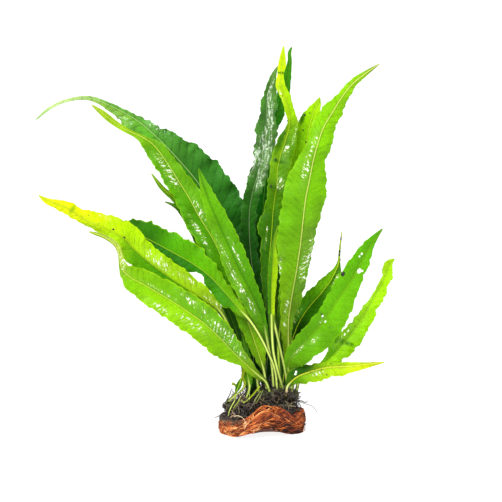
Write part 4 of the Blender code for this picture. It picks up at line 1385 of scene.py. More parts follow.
    def _beads(self, kind: str, spots: tuple[Bead, ...], halves: dict[int, tuple[Array, Array]]) -> Piece:
        """Sets small flattened beads on the upper face.

        Args:
            kind: What the beads are, for their name.
            spots: Share, mm across and radius of each.
            halves: Upper face and distances from the midrib of the right half at 1 and the left at -1.

        Returns:
            One object of these beads.
        """
        turns = circle(10)[:, None]
        lats = (-1.3, -0.7, 0.0, 0.7, 1.3)  # latitudes of a bead's rings in radians
        bodies, faces, total = [], [], 0
        for share, off, radius in spots:
            top, x = halves[1 if off >= 0 else -1]
            row = int(np.clip(round(share * (len(x) - 1)), 1, len(x) - 2))
            before, middle, after = (
                np.array([np.interp(abs(off), x[at], top[at, :, part]) for part in range(3)])
                for at in (row - 1, row, row + 1)
            )
            ahead = unit(after - before)
            up = unit(np.cross(top[row, -1] - top[row, 0], ahead)) * (1 if off >= 0 else -1)
            aside = np.cross(ahead, up)
            ring = np.cos(turns) * aside + 1.35 * np.sin(turns) * ahead
            rings = [middle + radius * (math.cos(lat) * ring + 0.5 * math.sin(lat) * up) for lat in lats]
            points, quads = closed_skin(np.array(rings))
            bodies.append(points)
            faces.append(quads + total)
            total += len(points)
        tints = np.repeat(np.linspace(0.2, 0.9, len(spots)), total // len(spots))
        name = self.node.replace("frond", kind)
        return make_mesh(name, np.vstack(bodies), np.vstack(faces), values={"tint": tints})

    @staticmethod
    def _around(r_top: Array, l_top: Array, l_low: Array, r_low: Array) -> Array:
        """Values from midrib to margin as a ring: over the top from right to left, and back below."""
        return np.concatenate([r_top[:, ::-1], l_top[:, 1:], l_low[:, -2:0:-1], r_low[:, :-1]], axis=1)

    @staticmethod
    def _by_point(values: Array) -> Array:
        """Values by ring as values by point of the closed body, with those of both end caps added."""
        flat = values.reshape(-1, *values.shape[2:])
        return np.concatenate([flat, flat[:1], flat[-1:]])


# Painted shade of stalks that stand in shade: a nearly black green, darker still on their sides
DARK_STALK = {"stalk": "#24420C", "flank_shade": "#0E2404"}

PLAIN = FernTissue(
    ((0.2, "#5FA414"), (0.5, "#66B313"), (1.0, "#7CC026")),
    ((0.2, "#6BB81A"), (0.5, "#70BA1F"), (1.0, "#84C932")),
)
SHADED = FernTissue(
    ((0.1, "#1B5C0B"), (0.5, "#2C6E12"), (1.0, "#4A8A20")),
    ((0.1, "#1F640D"), (0.5, "#34791A"), (1.0, "#539B1E")),
    RecordSlot.DARK, rib="#7FB54A", rib_share=0.5, margin="#4F9A26", margin_share=0.3,
    **DARK_STALK,
)
YOUNG = FernTissue(
    ((0.0, "#9CB83A"), (1.0, "#B4CC48")), ((0.0, "#B4C850"), (1.0, "#C6DC60")), RecordSlot.LIME,
    stalk="#BCCB55", rib_share=0.2,
)

FRONDS = (
    Frond(
        "frond_back_long", BACK_STEM, (-4.5, 4.0),
        ((-4.6, 30, 7, 2.6, 3.2), (-5, 36, 9.5, 3.4, 4.2), (-5.8, 54.6, 15, 3.8, 3.8), (-10, 78.6, 23, 5, 4),
         (-16.8, 103.8, 30, 9, 14), (-25.8, 126.6, 34, 10, 18), (-36, 145.8, 37, 10, 17),
         (-49.2, 162, 38, 8.5, 13.8), (-62.4, 175.8, 37, 8, 7.3), (-75.6, 186.9, 34, 8, 2.8),
         (-89.4, 194.4, 30, 3.5, 1.7), (-103.2, 199.5, 26, 1.4, 1.4), (-117, 198, 21, 1, 1),
         (-127.2, 193.2, 17, 0.9, 0.9), (-135, 186.6, 14, 0.4, 0.4)),
        # The nearly black greens low on the frond are painted shade, and the pale stops at 0.9 and 0.95 a
        # painted sheen
        FernTissue(
            ((0.2, "#0F4A06"), (0.42, "#256712"), (0.56, "#3F8A1E"), (0.7, "#5FAE32"), (0.82, "#8CBC4A"),
             (0.9, "#C4E49A"), (0.95, "#D8F0B8"), (1.0, "#7CB83A")),
            ((0.2, "#0B3F04"), (0.42, "#1F6012"), (0.52, "#357A24"), (0.66, "#4F9632"), (0.8, "#72B448"),
             (0.9, "#C4E49A"), (0.95, "#D8F0B8"), (1.0, "#7CB83A")),
            RecordSlot.DARK, exposure=1.15, blue=0.8, rib="#B4DC8C", rib_share=0.65, margin="#2E7A18",
            vein=0.4, painted_sheen="#A8CFA0", cover=0.9, shade="#1F6010",
            **DARK_STALK,
        ),
        roll=(0, 18), ruffle=1.8, quilt=0.7, vein_spacing=6.0, scallop=1.6,
        wet_and_sheen=((0.76, -4, 14, 3), (0.7, 5, 18, 5)),
    ),
    Frond(
        "frond_left_upper", FRONT_STEM, (2.6, -5.6),
        ((1.2, 36, -4, 1.2, 1.2), (-1.2, 44.4, -4, 3.5, 3.5), (-4.2, 53.4, -4, 4.5, 5.5),
         (-8.4, 65.4, -4, 5.5, 6), (-14.4, 81, -3, 6.5, 7), (-21.6, 97.8, -3, 8, 8), (-28.8, 114, -3, 9, 9),
         (-37.8, 129, -2, 9.5, 9), (-44, 140.4, -1, 8, 8), (-50.4, 150.6, 0, 7.8, 6.5),
         (-55.4, 158.6, 1, 7.4, 5.4), (-63.6, 170, 3, 7, 4.2), (-69.2, 174.6, 4, 4.6, 1.8),
         (-75, 177.6, 5, 2.2, 1.2), (-81.6, 180.6, 5, 1.8, 1.4), (-88.2, 184.8, 4, 2, 1.6),
         (-94.8, 189.9, 2, 1.8, 1.8), (-101.4, 195, 0, 0.4, 0.4)),
        FernTissue(
            ((0.05, "#86B92B"), (0.3, "#5CAC0C"), (0.55, "#58A80A"), (0.78, "#66B016"), (0.9, "#A8DC3A"),
             (1.0, "#B4E04C")),
            ((0.05, "#95C92F"), (0.3, "#6CBA16"), (0.5, "#6BB81A"), (0.78, "#6EB41C"), (0.9, "#A4D83C"),
             (1.0, "#BCE65C")),
            rib="#DCF2A8", rib_share=0.75,
        ),
        roll=(10, -15), fold=14, ruffle=0.9,
        wet_and_sheen=((0.7, -2.5, 20, 3.5), (0.82, 3, 9, 1.2), (0.5, -5, 16, 2.4), (0.56, 2, 12, 2.5),
             (0.3, 1, 10, 2.5)),
    ),
    Frond(
        "frond_front_left", FRONT_STEM, (7.0, -3.6),
        ((5.6, 41.4, -6, 1, 1), (3, 54.6, -7, 1.6, 1.6), (0.6, 66.6, -9, 5, 2), (-3, 76.2, -12, 7, 4),
         (-7.2, 84.6, -15, 8, 5), (-13.8, 97.8, -18, 8.5, 7), (-19.8, 111, -20, 7, 7.5),
         (-25.2, 123, -21.5, 6, 7), (-30.6, 135.6, -22, 4.5, 5.5), (-34.8, 147, -21.5, 2.2, 3),
         (-37.8, 157.2, -20.5, 0.4, 0.4)),
        # The dark midrib is painted shade in a crease, and the darker greens of the right half are painted
        # shade
        FernTissue(
            ((0.2, "#6CB81C"), (0.45, "#6EB91A"), (0.7, "#6FBC1C"), (1.0, "#78C420")),
            ((0.2, "#5EB010"), (0.45, "#5BAC0E"), (0.7, "#66B516"), (1.0, "#70C01C")),
            exposure=1.65, rib="#3F8E0A", rib_share=0.6, vein=0.1, streaks=ALONG_BLADE,
        ),
        roll=(-10, 10), fold=20, ruffle=0.5,
        wet_and_sheen=((0.66, -4.5, 13, 2.2), (0.52, -5, 18, 2.8), (0.38, -3.5, 9, 2.4), (0.62, 2.2, 16, 1.6)),
    ),
    Frond(
        "frond_left_middle", FRONT_STEM, (9.0, -6.6),
        ((7.8, 36.6, -11, 0.9, 0.9), (3.6, 47.4, -13, 0.9, 0.9), (-1.8, 58.2, -14.5, 0.95, 0.95),
         (-7.8, 67.2, -14.5, 1.3, 1.3), (-14.4, 74.4, -13, 4, 3), (-21.6, 82.8, -11, 7.4, 4),
         (-28.5, 90.4, -9, 6.4, 5.8), (-34.5, 95.8, -7.7, 2.4, 8.2), (-38.5, 98.6, -7, 4, 9.4),
         (-42, 101, -6.4, 7.2, 10.4), (-48, 104.4, -5.6, 9.2, 11.2), (-60, 111, -3, 8, 10.2),
         (-71.4, 117, 0, 6, 9.4), (-81, 121.8, 4, 3.5, 5.2), (-87, 124.8, 6, 0.4, 0.4)),
        # The dark greens of the left half and towards the tip are painted shade
        FernTissue(
            ((0.3, "#9CD020"), (0.42, "#4A9A0A"), (0.65, "#2F8206"), (0.85, "#246E04"), (1.0, "#24680A")),
            ((0.3, "#A8DC24"), (0.42, "#7CC21A"), (0.65, "#64B80A"), (0.76, "#56AA08"), (0.84, "#357E04"),
             (1.0, "#2C6C05")),
            RecordSlot.DARK, exposure=1.3, rib="#B4E060", rib_share=0.6,
        ),
        roll=(0, 15), ruffle=1.3, scallop=1.7,
    ),
    Frond(
        "frond_left_long", FRONT_STEM, (-2.0, -8.6),
        ((-4.8, 39, -13, 1, 1), (-14.4, 51.6, -16, 1.1, 1.1), (-24, 70.8, -19, 1.6, 1.8),
         (-33.6, 78.6, -21, 4, 6), (-43.2, 84.6, -22.5, 6, 8), (-51.6, 90, -24, 7.5, 9),
         (-59.4, 95.4, -25, 8, 9), (-67.2, 101.4, -26.5, 9, 9), (-76.2, 109.2, -28, 8, 9.4),
         (-82.2, 115.8, -28.5, 6.4, 9.8), (-95.4, 122.4, -29, 3.8, 8), (-104, 125.8, -29, 3, 6.6),
         (-109.2, 129.2, -28.5, 3.2, 4.6), (-114, 132.6, -28, 4.2, 4.2), (-121.2, 135.8, -27, 3, 2.8),
         (-127.8, 138, -26, 2.2, 1.5), (-132.6, 141, -25, 0.4, 0.4)),
        # The darker greens in the middle of the left half are painted shade, where that half bends down from
        # the light
        FernTissue(
            ((0.3, "#7FA82A"), (0.42, "#62AE10"), (0.52, "#54A806"), (0.64, "#68B406"), (0.74, "#BCF00C"),
             (0.86, "#E6F60C"), (1.0, "#F4FA14")),
            ((0.3, "#93BE3A"), (0.42, "#B0E830"), (0.55, "#A8E414"), (0.68, "#B8F00C"), (0.8, "#D6FA08"),
             (0.88, "#F4FC04"), (1.0, "#EFFB28")),
            RecordSlot.LIME, exposure=1.42, rib="#C9E83C", rib_share=0.5, margin="#C8F030", margin_share=0.4,
            stalk="#B9CC5A", painted_sheen="#D6EAA4", veil=0.54, shade="#A2C80E",
        ),
        roll=(0, -12), fold=-14, ruffle=0.8,
        wet_and_sheen=((0.565, 4, 15, 4.4), (0.46, 5, 10, 2.4), (0.34, 2, 9, 2.4), (0.78, 6.5, 5, 1.6)),
        dim=((0.885, 0.8, 1.3, 3.6), (0.8, -2.4, 9, 1.4)),
        specks=((0.742, 1.6, 0.6), (0.7, 0.5, 0.6), (0.83, 3.4, 0.3), (0.79, 1.2, 0.3)),
    ),
    Frond(
        "frond_left_broad", FRONT_STEM, (4.4, -8.8),
        ((2.2, 30, -11.5, 1.3, 1.3), (-1.4, 33, -14.5, 2.4, 1.6), (-6.4, 37.4, -18, 3, 2.8),
         (-12.6, 43.2, -22, 3.6, 4.8), (-19.2, 49.8, -26, 8.6, 7), (-25.2, 56.4, -30, 10.4, 9),
         (-34.2, 64.8, -34, 10.8, 10), (-43.2, 71.4, -37, 11, 10.4), (-52.2, 77.4, -39, 10.5, 10),
         (-61.2, 82.8, -41, 10, 9.5), (-70.2, 88.2, -43, 9, 8.5), (-78, 92.4, -44, 6.4, 7.5),
         (-83.2, 97.6, -44.5, 1.8, 4.5), (-84.4, 104.4, -44, 0.9, 2.2), (-86.6, 111, -43, 0.9, 2.2),
         (-93, 116, -41, 1, 1.6), (-98.4, 118.2, -39, 1.1, 1), (-102.6, 119.4, -38, 0.4, 0.4)),
        # The pale grey greens from 0.84 to the tip are the folded tip's paler underside with a painted sheen
        # on it
        FernTissue(
            ((0.1, "#9CCC3A"), (0.25, "#8CD40E"), (0.4, "#98E00C"), (0.6, "#9EE40C"), (0.74, "#8CD80E"),
             (0.84, "#A1B96D"), (1.0, "#8FB45A")),
            ((0.1, "#90C23A"), (0.25, "#6CB818"), (0.45, "#76C412"), (0.6, "#7ECA0C"), (0.76, "#8DD00C"),
             (0.84, "#C2D69A"), (1.0, "#9CBC6E")),
            exposure=1.52, rib="#DCF49C", rib_share=0.8, margin="#C2EE3A", margin_share=0.6,
            painted_sheen="#B9DCA0", veil=0.56, cover=0.87,
        ),
        roll=(0, 10), fold=8, ruffle=0.8,
        wet_and_sheen=((0.34, 4, 22, 4.6), (0.5, 6.4, 14, 3), (0.62, 1.8, 18, 1.3), (0.45, -4.5, 16, 3.2),
             (0.6, -7, 12, 2.4), (0.22, 2.5, 10, 2.4), (0.83, 1, 14, 3)),
    ),
    Frond(
        "frond_tall_pale", BACK_STEM, (0.8, 6.8),
        ((1.6, 28.6, 8, 3.2, 3.2), (2.2, 34, 8.6, 4.2, 3.8), (3.2, 48.6, 11, 3.6, 3.4),
         (-0.4, 69.6, 12.5, 3.5, 4), (-4.8, 90.6, 15, 6.5, 5), (-7.2, 109.8, 18, 7, 4.5),
         (-7.8, 129, 20, 4.8, 4.2), (-6, 142.2, 21, 4.8, 5), (-3, 153, 21.5, 4.8, 6), (0, 163.8, 22, 4.8, 6),
         (1.8, 174.6, 22, 6.2, 7), (2.4, 186.6, 21, 5, 6), (3, 198.6, 19, 3, 6), (4.8, 207.6, 16.5, 2, 4),
         (7.2, 214.2, 14, 1.2, 1.6), (9.6, 218.4, 12.5, 0.4, 0.4)),
        # The nearly black greens low on the frond are painted shade; its pale grey green sheen and streaks
        # are painted sheen and painted glints
        FernTissue(
            ((0.2, "#0C4204"), (0.45, "#1D5E0C"), (0.58, "#34781E"), (0.68, "#5A9440"), (0.85, "#4F8E3A"),
             (1.0, "#62A334")),
            ((0.2, "#0F4A06"), (0.45, "#236A10"), (0.58, "#3A8222"), (0.68, "#6BA050"), (0.85, "#5E9A48"),
             (1.0, "#74B040")),
            RecordSlot.PALE, blue=0.8, rib="#B4D4A4", rib_share=0.42, margin="#74A85C", margin_share=0.3,
            vein=0.3, painted_sheen="#BCD4B8", veil=0.8, painted_glint="#D6E4D2", cover=0.82, streaks=ALONG_BLADE,
            **DARK_STALK,
        ),
        roll=(-10, -24), ruffle=1.3, quilt=0.5, scallop=1.4,
        wet_and_sheen=((0.83, 2.5, 18, 2.8), (0.73, 0.5, 18, 5.5), (0.65, 2.5, 12, 3.6), (0.9, 1, 14, 2),
             (0.7, -4, 16, 2.4)),
    ),
    Frond(
        "frond_tall_back", BACK_STEM, (5.0, 8.4),
        ((5.2, 36, 15.5, 1.6, 1.8), (4.8, 48.6, 22, 2.2, 2.2), (1.8, 72.6, 28, 4, 4), (0, 96.6, 33, 6, 6),
         (0, 117.6, 37, 6.5, 6.5), (0.8, 135.6, 40, 6.5, 5), (2.2, 150.6, 41, 6, 4.6),
         (4.2, 165.6, 40, 5.5, 3.6), (6, 179.4, 38, 4.5, 2.6), (10, 191.4, 35, 4.5, 3.8),
         (13.8, 203.4, 31, 4, 3), (15.6, 214.2, 28, 2.6, 2), (16.5, 222.6, 25, 1, 1.4),
         (16.2, 226.2, 24, 1.2, 1.2), (17.7, 229.8, 23, 0.5, 0.5)),
        # The nearly black greens low on the frond are painted shade
        FernTissue(
            ((0.2, "#0E5208"), (0.55, "#106010"), (0.75, "#1F7E10"), (1.0, "#48A21A")),
            ((0.2, "#0C4C08"), (0.55, "#0E6012"), (0.75, "#2A8A10"), (1.0, "#54AC18")),
            RecordSlot.DARK, exposure=1.35, rib="#6FB44A", rib_share=0.4, margin="#56A82A", margin_share=0.3,
            **DARK_STALK,
        ),
        roll=(0, 12), ruffle=0.9,
    ),
    Frond(
        "frond_centre_twisted", FRONT_STEM, (15.2, -3.2),
        ((14.1, 34.8, -8, 0.95, 0.95), (11.2, 48, -9, 0.95, 0.95), (8.2, 61.2, -8, 1.1, 1.1),
         (5.4, 73.8, -4, 3, 2.4), (3.6, 87.6, -0.5, 3.6, 3), (4.5, 105, 2, 5.5, 4), (5.4, 114.6, 3, 6, 5),
         (6, 123, 3.5, 9, 6), (6.6, 132, 4, 5.5, 6.5), (7.8, 141, 3, 5, 7), (9, 148.2, 0, 5.5, 7),
         (9, 155.4, 3, 4.5, 6.5), (10.8, 164.4, 5, 5, 7.5), (13.2, 171.6, 6, 4.8, 7),
         (15.3, 178.2, 6, 3.5, 5.5), (16.6, 184.8, 5.5, 1.2, 5), (15.9, 191.4, 5, 2.3, 3.5),
         (13.5, 199.8, 4.5, 2.2, 3.5), (11.1, 206.4, 4, 3.2, 3), (11.4, 213, 4, 2.2, 1.4),
         (11.7, 218.4, 4, 2.4, 2.8), (12.3, 224.4, 4, 1.6, 1.6), (12.8, 230, 5, 0.4, 0.4)),
        FernTissue(
            ((0.25, "#2F6E06"), (0.5, "#417F0A"), (0.62, "#6FA81A"), (0.74, "#84B81E"), (0.82, "#B4E414"),
             (0.9, "#CFF814"), (1.0, "#DDFE1A")),
            ((0.25, "#357606"), (0.5, "#3E7A06"), (0.62, "#5E9A10"), (0.74, "#5C960E"), (0.82, "#9CD40C"),
             (0.9, "#C4F40E"), (1.0, "#D8FC18")),
            exposure=1.36, rib="#BEE04A", rib_share=0.6, margin="#9CCC3C", shade="#3F7A08",
        ),
        ruffle=0.8,
        wet_and_sheen=((0.6, 2, 5, 3), (0.87, -1.5, 8, 1), (0.75, 4.5, 10, 1.2), (0.7, 2.5, 6, 2.5), (0.45, -3, 12, 1)),
        dim=((0.735, -3.2, 13, 2.2), (0.665, 0, 1, 4.5), (0.59, -0.5, 0.9, 5), (0.925, 0, 0.9, 4)),
        specks=((0.67, -2.2, 0.65), (0.594, -3.4, 0.65), (0.785, -1.8, 0.4), (0.75, -1.5, 0.4),
                (0.86, -1, 0.3)),
    ),
    Frond(
        "frond_right_behind", FRONT_STEM, (11.2, -0.8),
        ((10.2, 39, -2.5, 1, 1), (9.8, 51.6, -1, 1.4, 1.4), (11.4, 66.6, 2, 2.5, 2.5), (15, 81.6, 5, 5, 4),
         (20.4, 108.6, 11, 7, 6), (22.8, 135.6, 14, 9, 7), (24.6, 156.6, 15, 10, 7),
         (26.4, 171.6, 15, 9, 6.5), (28.2, 181.8, 14, 8, 6), (30.6, 190.2, 13, 5, 4.6),
         (32.7, 195.6, 12, 2.2, 2.8), (34.5, 199.8, 12, 0.4, 0.4)),
        FernTissue(
            ((0.2, "#3E7A0A"), (0.6, "#A0E80C"), (0.74, "#A8F00C"), (0.85, "#98E20B"), (1.0, "#A4DC07")),
            ((0.2, "#3E7A0A"), (0.6, "#A8EE0C"), (0.74, "#B0F80C"), (0.85, "#98E20C"), (1.0, "#A4D810")),
            exposure=1.25, stalk="#A8C83C", shade="#3C7A0C",
        ),
        roll=(0, 8), ruffle=0.8,
        wet_and_sheen=((0.9, 3, 5, 1.6), (0.79, 3.5, 8, 2)),
        dim=((0.915, -5.4, 4, 1.6),),
        specks=((0.927, -4.4, 0.5), (0.875, -3.1, 0.45), (0.84, -0.3, 0.45), (0.8, -1.4, 0.5),
                (0.94, -2, 0.35), (0.75, -4.6, 0.6)),
    ),
    Frond(
        "frond_tall_right", FRONT_STEM, (18.6, 0.4),
        ((17.4, 35.4, -1, 1, 1), (15.9, 48.6, -2, 3.2, 1.8), (15.8, 65.4, -3.5, 4.8, 2.8),
         (17.4, 78.6, -5, 6.5, 6), (20.4, 95.4, -7.5, 10.5, 7), (22.8, 111.6, -10, 14.5, 7.8),
         (24.3, 125.4, -12, 14, 9.4), (25.8, 138.6, -13.5, 13.5, 11.8), (28.2, 150.6, -14.5, 13, 10.4),
         (30.3, 161.4, -15, 9, 7.2), (33, 171.6, -15, 6, 8.5), (36.6, 181.8, -15, 6.2, 7),
         (42, 190.8, -15, 6.2, 5.5), (48, 200.4, -16, 3, 4), (54, 207.6, -17, 2.6, 2.4),
         (61.2, 213.3, -18, 1.6, 1.6), (69.6, 219, -19, 0.35, 0.35)),
        FernTissue(
            ((0.1, "#98C83A"), (0.3, "#86C62A"), (0.5, "#74BE20"), (0.65, "#7CC022"), (0.76, "#8CDA08"),
             (0.94, "#9CDE1C"), (1.0, "#6C7A30")),
            ((0.1, "#84B434"), (0.3, "#6CA83C"), (0.44, "#7CB84A"), (0.55, "#7ECA12"), (0.7, "#86D40A"),
             (0.94, "#96D61F"), (1.0, "#5C6A28")),
            exposure=1.48, rib="#F0F8F8", rib_share=0.8, rib_half=0.42, margin="#98DC24", margin_share=0.4,
            painted_sheen="#B4DCA0", veil=0.6,
        ),
        roll=(0, -14), fold=-10,
        wet_and_sheen=((0.36, 4.4, 15, 3.4), (0.42, 6.4, 12, 2), (0.35, -10, 12, 1.9), (0.22, -2, 14, 1.8),
             (0.64, -3.4, 14, 2.8), (0.71, -2.4, 12, 2)),
    ),
    Frond(
        "frond_right_dark", BACK_STEM, (11.5, 9.6),
        ((12.6, 29, 11.6, 2.6, 2.6), (13.2, 34, 13.5, 2.8, 2.8), (15.6, 45.6, 18, 3.2, 3),
         (20.4, 60.6, 21, 4, 4), (24.6, 69, 23, 6, 6.5), (30, 76.2, 25, 7, 7.5), (35.4, 82.2, 26, 6.5, 7.5),
         (40.8, 89.4, 27, 5, 6), (44.4, 96, 27, 2.4, 3.5), (46.2, 101.4, 27, 0.9, 0.9),
         (46.8, 109.8, 27, 0.6, 0.6), (48, 119.4, 27, 0.35, 0.35)),
        FernTissue(
            ((0.36, "#1C4A04"), (0.5, "#3C7A08"), (0.62, "#5C9C0C"), (0.75, "#6CA81A"), (1.0, "#4A5A20")),
            ((0.36, "#183E02"), (0.5, "#2E6A04"), (0.75, "#3C7406"), (1.0, "#3A4818")),
            RecordSlot.DARK, exposure=0.58, rib="#B8CC5A", margin="#6FA82A", margin_share=0.3,
            **DARK_STALK,
        ),
        roll=(0, 15), fold=12, ruffle=0.8,
        wet_and_sheen=((0.72, 3, 8, 1.6), (0.42, -3, 7, 2)),
        specks=((0.965, 0, 0.6), (0.885, 0.1, 0.7), (0.865, -0.1, 0.6), (0.84, 0.6, 0.5)),
    ),
    Frond(
        "frond_right_broad", FRONT_STEM, (17.8, -3.2),
        ((16.8, 31.8, -9, 1.1, 1.1), (15.5, 38.4, -13.5, 1.8, 3.6), (17.4, 44.4, -17.5, 4.2, 8.6),
         (23.4, 51, -21, 6.2, 9.6), (31.2, 60, -25, 6.2, 12.6), (39, 70.2, -29, 5.8, 12.2),
         (46.5, 81.6, -32, 6.8, 9.8), (52.8, 90.6, -34, 7.6, 6.4), (60, 103.8, -35, 6, 4.6),
         (65.4, 112.8, -35, 3.8, 1.8), (71.4, 121.2, -34, 0.4, 0.4)),
        FernTissue(
            ((0.1, "#6AA81A"), (0.35, "#68B60C"), (0.6, "#72CA06"), (0.85, "#6AC406"), (1.0, "#5CB806")),
            ((0.1, "#66A21A"), (0.35, "#6EBE0A"), (0.6, "#7AD003"), (0.85, "#70C905"), (1.0, "#5CB806")),
            exposure=1.68, rib="#A8DC3C", rib_share=0.4, margin="#9CE024", margin_share=0.35, vein=0.1,
        ),
        roll=(0, -10), fold=12, ruffle=0.4,
        wet_and_sheen=((0.28, 0.2, 9, 1.4), (0.37, 3.5, 6, 2.4), (0.47, -1, 4, 1.4)),
        drops=((0.77, 1.6, 1.3), (0.85, -2.2, 0.6), (0.838, -2.6, 0.5), (0.785, 3.2, 0.5), (0.49, -2, 0.6),
               (0.48, 1.4, 0.5)),
        specks=((0.729, -6.4, 1.2), (0.5, -3.4, 0.5), (0.47, 5.6, 0.3)),
    ),
    Frond(
        "frond_right_outer", FRONT_STEM, (20.4, 3.4),
        ((22, 30, 5, 1.1, 1.1), (26.4, 34.2, 7, 1.2, 1.2), (32.4, 37.2, 9, 1.5, 2),
         (38.4, 41.4, 11, 2.2, 4.5), (43.2, 45.6, 13, 5.2, 5.8), (48, 51, 15, 7.6, 7.6),
         (53.1, 57, 17, 5.6, 7.4), (57.6, 63.6, 20, 4.2, 7), (61.4, 68.8, 22, 4, 5.8),
         (66.6, 78.6, 26, 2.2, 5.4), (70.8, 85.8, 28, 1.8, 4.8), (73.8, 91.8, 30, 2.2, 4.2),
         (75.9, 97.8, 31, 3.2, 3), (77.4, 101.1, 31, 2.8, 1.4), (79.8, 103.2, 31, 0.35, 0.35)),
        FernTissue(
            ((0.15, "#8CC818"), (0.32, "#62AC0C"), (0.5, "#7CBC24"), (0.7, "#9CDC1A"), (1.0, "#B0E42C")),
            ((0.15, "#9CDC10"), (0.3, "#A4EC0A"), (0.5, "#96E40A"), (0.7, "#A9EE10"), (1.0, "#B4F018")),
            RecordSlot.LIME, exposure=1.35, margin="#BCC89A", margin_share=0.4, rib="#B8E64A", rib_share=0.4,
            shade="#4E8E0C",
        ),
        roll=(0, 20), ruffle=1.2, scallop=1.5,
        wet_and_sheen=((0.45, -3, 8, 1.5),),
        dim=((0.415, -5.2, 2.4, 2.4), (0.43, -1.6, 2, 2.4), (0.44, 1.4, 1.4, 1.8), (0.45, 4, 0.9, 1.6)),
    ),
    Frond(
        "frond_right_low", FRONT_STEM, (14.4, -6.3),
        ((15, 26.6, -10, 1, 1), (17.4, 29.8, -12, 3.8, 2.6), (20.4, 32.4, -13.5, 6.2, 4),
         (23.4, 34, -15, 5.6, 5.6), (28.2, 35.7, -16.5, 4.6, 6.5), (34.2, 37.5, -18, 3.8, 7),
         (40.8, 38.7, -19.5, 3.4, 6), (48, 39, -21, 2.7, 5.2), (55.2, 39.6, -22, 2.2, 3.7),
         (63, 40.5, -23, 1.2, 2.2), (73, 41.7, -23.5, 0.35, 0.35)),
        # The dark green at 0.3 on the left half is painted shade
        FernTissue(
            ((0.1, "#4E8014"), (0.3, "#2F6A10"), (0.42, "#8CC020"), (0.6, "#A8E010"), (1.0, "#E6F814")),
            ((0.1, "#4E8014"), (0.3, "#7CB81C"), (0.42, "#AEE018"), (0.6, "#C2EE14"), (1.0, "#EEFC20")),
            RecordSlot.LIME, rib="#E8F08C", rib_share=0.85, rib_half=0.5, margin="#D8F83C", margin_share=0.4,
            stalk="#DCE690", shade="#2C6A0C",
        ),
        roll=(0, 10), fold=8, ruffle=0.5,
        wet_and_sheen=((0.42, 2.4, 6, 1.8),),
        dim=((0.3, -3, 7, 3),),
        drops=((0.24, -2, 0.7), (0.26, -3, 0.6)),
        specks=((0.36, 0.3, 0.3), (0.41, -0.2, 0.3), (0.46, 0.3, 0.3), (0.55, -2, 0.35), (0.5, 4.4, 0.4)),
        scales=((0.03, 0, 1.2), (0.06, 0.2, 0.9)),
    ),
    Frond(
        "frond_front_narrow", FRONT_STEM, (12.4, -4.2),
        ((9.4, 36.6, -15, 1, 1), (6.9, 46.8, -19, 1.05, 1.05), (6, 57, -21.5, 1.2, 1.2),
         (5.8, 65.4, -23, 1.9, 1.7), (5.7, 78.6, -25, 2.2, 2), (6, 90.6, -26.5, 2.6, 2.8),
         (6.6, 101.4, -27.5, 2.6, 2.8), (6.9, 108.6, -28, 1.6, 1.8), (7.2, 114.6, -28, 0.9, 0.9),
         (9.3, 123, -27.5, 0.35, 0.35)),
        FernTissue(
            ((0.3, "#5A9A10"), (0.6, "#4E9A0C"), (1.0, "#6CB414")),
            ((0.3, "#BCE050"), (0.6, "#C8FC10"), (1.0, "#94D420")),
            RecordSlot.LIME, exposure=2.0, rib_share=0.3, margin="#CDF43C",
        ),
        roll=(40, 55), fold=12, ruffle=0.5,
    ),
    Frond(
        "frond_left_thin_upper", BACK_STEM, (-6.4, 3.4),
        ((-9.6, 46, 7.4, 1.8, 2), (-13.2, 60.6, 10, 2.6, 2.8), (-24, 92, 13, 3.5, 3.5),
         (-36.6, 116.4, 13, 3.4, 5), (-43.8, 128.4, 13, 2.8, 5), (-51, 138.6, 12, 2.6, 3.5),
         (-56.4, 142.8, 11, 1.8, 1.4), (-60.6, 147, 10, 1.6, 1.2), (-66, 154.2, 9, 0.4, 0.4)),
        PLAIN, roll=(0, 10), ruffle=0.6,
    ),
    Frond(
        "frond_left_thin_lower", BACK_STEM, (-8.6, 1.8),
        ((-11.4, 42, 3, 2, 2), (-14.6, 57.6, 4.5, 2.6, 2.4), (-28, 92, 6, 3, 3), (-40.2, 118.2, 6, 2.4, 4),
         (-48, 131.4, 6, 1.9, 2.5), (-52.8, 135.3, 5.5, 1.1, 1.1), (-57.9, 137.4, 5, 0.4, 0.4)),
        SHADED, roll=(0, 10), ruffle=0.4,
    ),
    Frond(
        "frond_rear_left", BACK_STEM, (-1.8, 6.8),
        ((-4, 48, 26, 1.2, 1.2), (-9, 68, 44, 5, 5), (-14, 84, 60, 8, 8), (-19, 96, 74, 6.5, 6.5),
         (-23, 103, 86, 3, 3), (-26, 105, 94, 0.4, 0.4)),
        PLAIN, roll=(0, -20), fold=14,
    ),
    Frond(
        "frond_rear_centre", BACK_STEM, (8.6, 10.2),
        ((9.2, 30, 14, 2.6, 2.8), (9.8, 38, 18.5, 2.6, 2.8), (9.8, 56, 29, 2.8, 3.6), (9, 84, 42, 6, 6),
         (10, 110, 53, 9, 9), (13, 132, 63, 8, 8), (17, 149, 70, 4.5, 4.5), (21, 161, 74, 0.4, 0.4)),
        SHADED, roll=(0, 20), fold=12,
    ),
    Frond(
        "frond_rear_right", BACK_STEM, (12.9, 11.0),
        ((18, 42, 28, 1.2, 1.2), (25, 56, 44, 5.5, 5.5), (33, 69, 58, 8, 8), (40, 78, 70, 6, 6),
         (45, 83, 79, 3, 3), (49, 85, 86, 0.4, 0.4)),
        PLAIN, roll=(0, 16), fold=12, ruffle=0.9,
    ),
    Frond(
        "frond_small_bent", LEFT_STEM, (-19.8, -13.6),
        ((-17.6, 20.4, -15, 0.42, 0.42), (-14.1, 23.2, -15.5, 0.5, 0.5), (-11.4, 25.6, -15.5, 0.7, 0.7),
         (-10.2, 29.1, -15, 0.8, 0.8), (-11.7, 32.4, -14.5, 0.8, 0.8), (-10.9, 36.6, -14, 1, 1),
         (-9.4, 42, -13, 0.4, 0.4)),
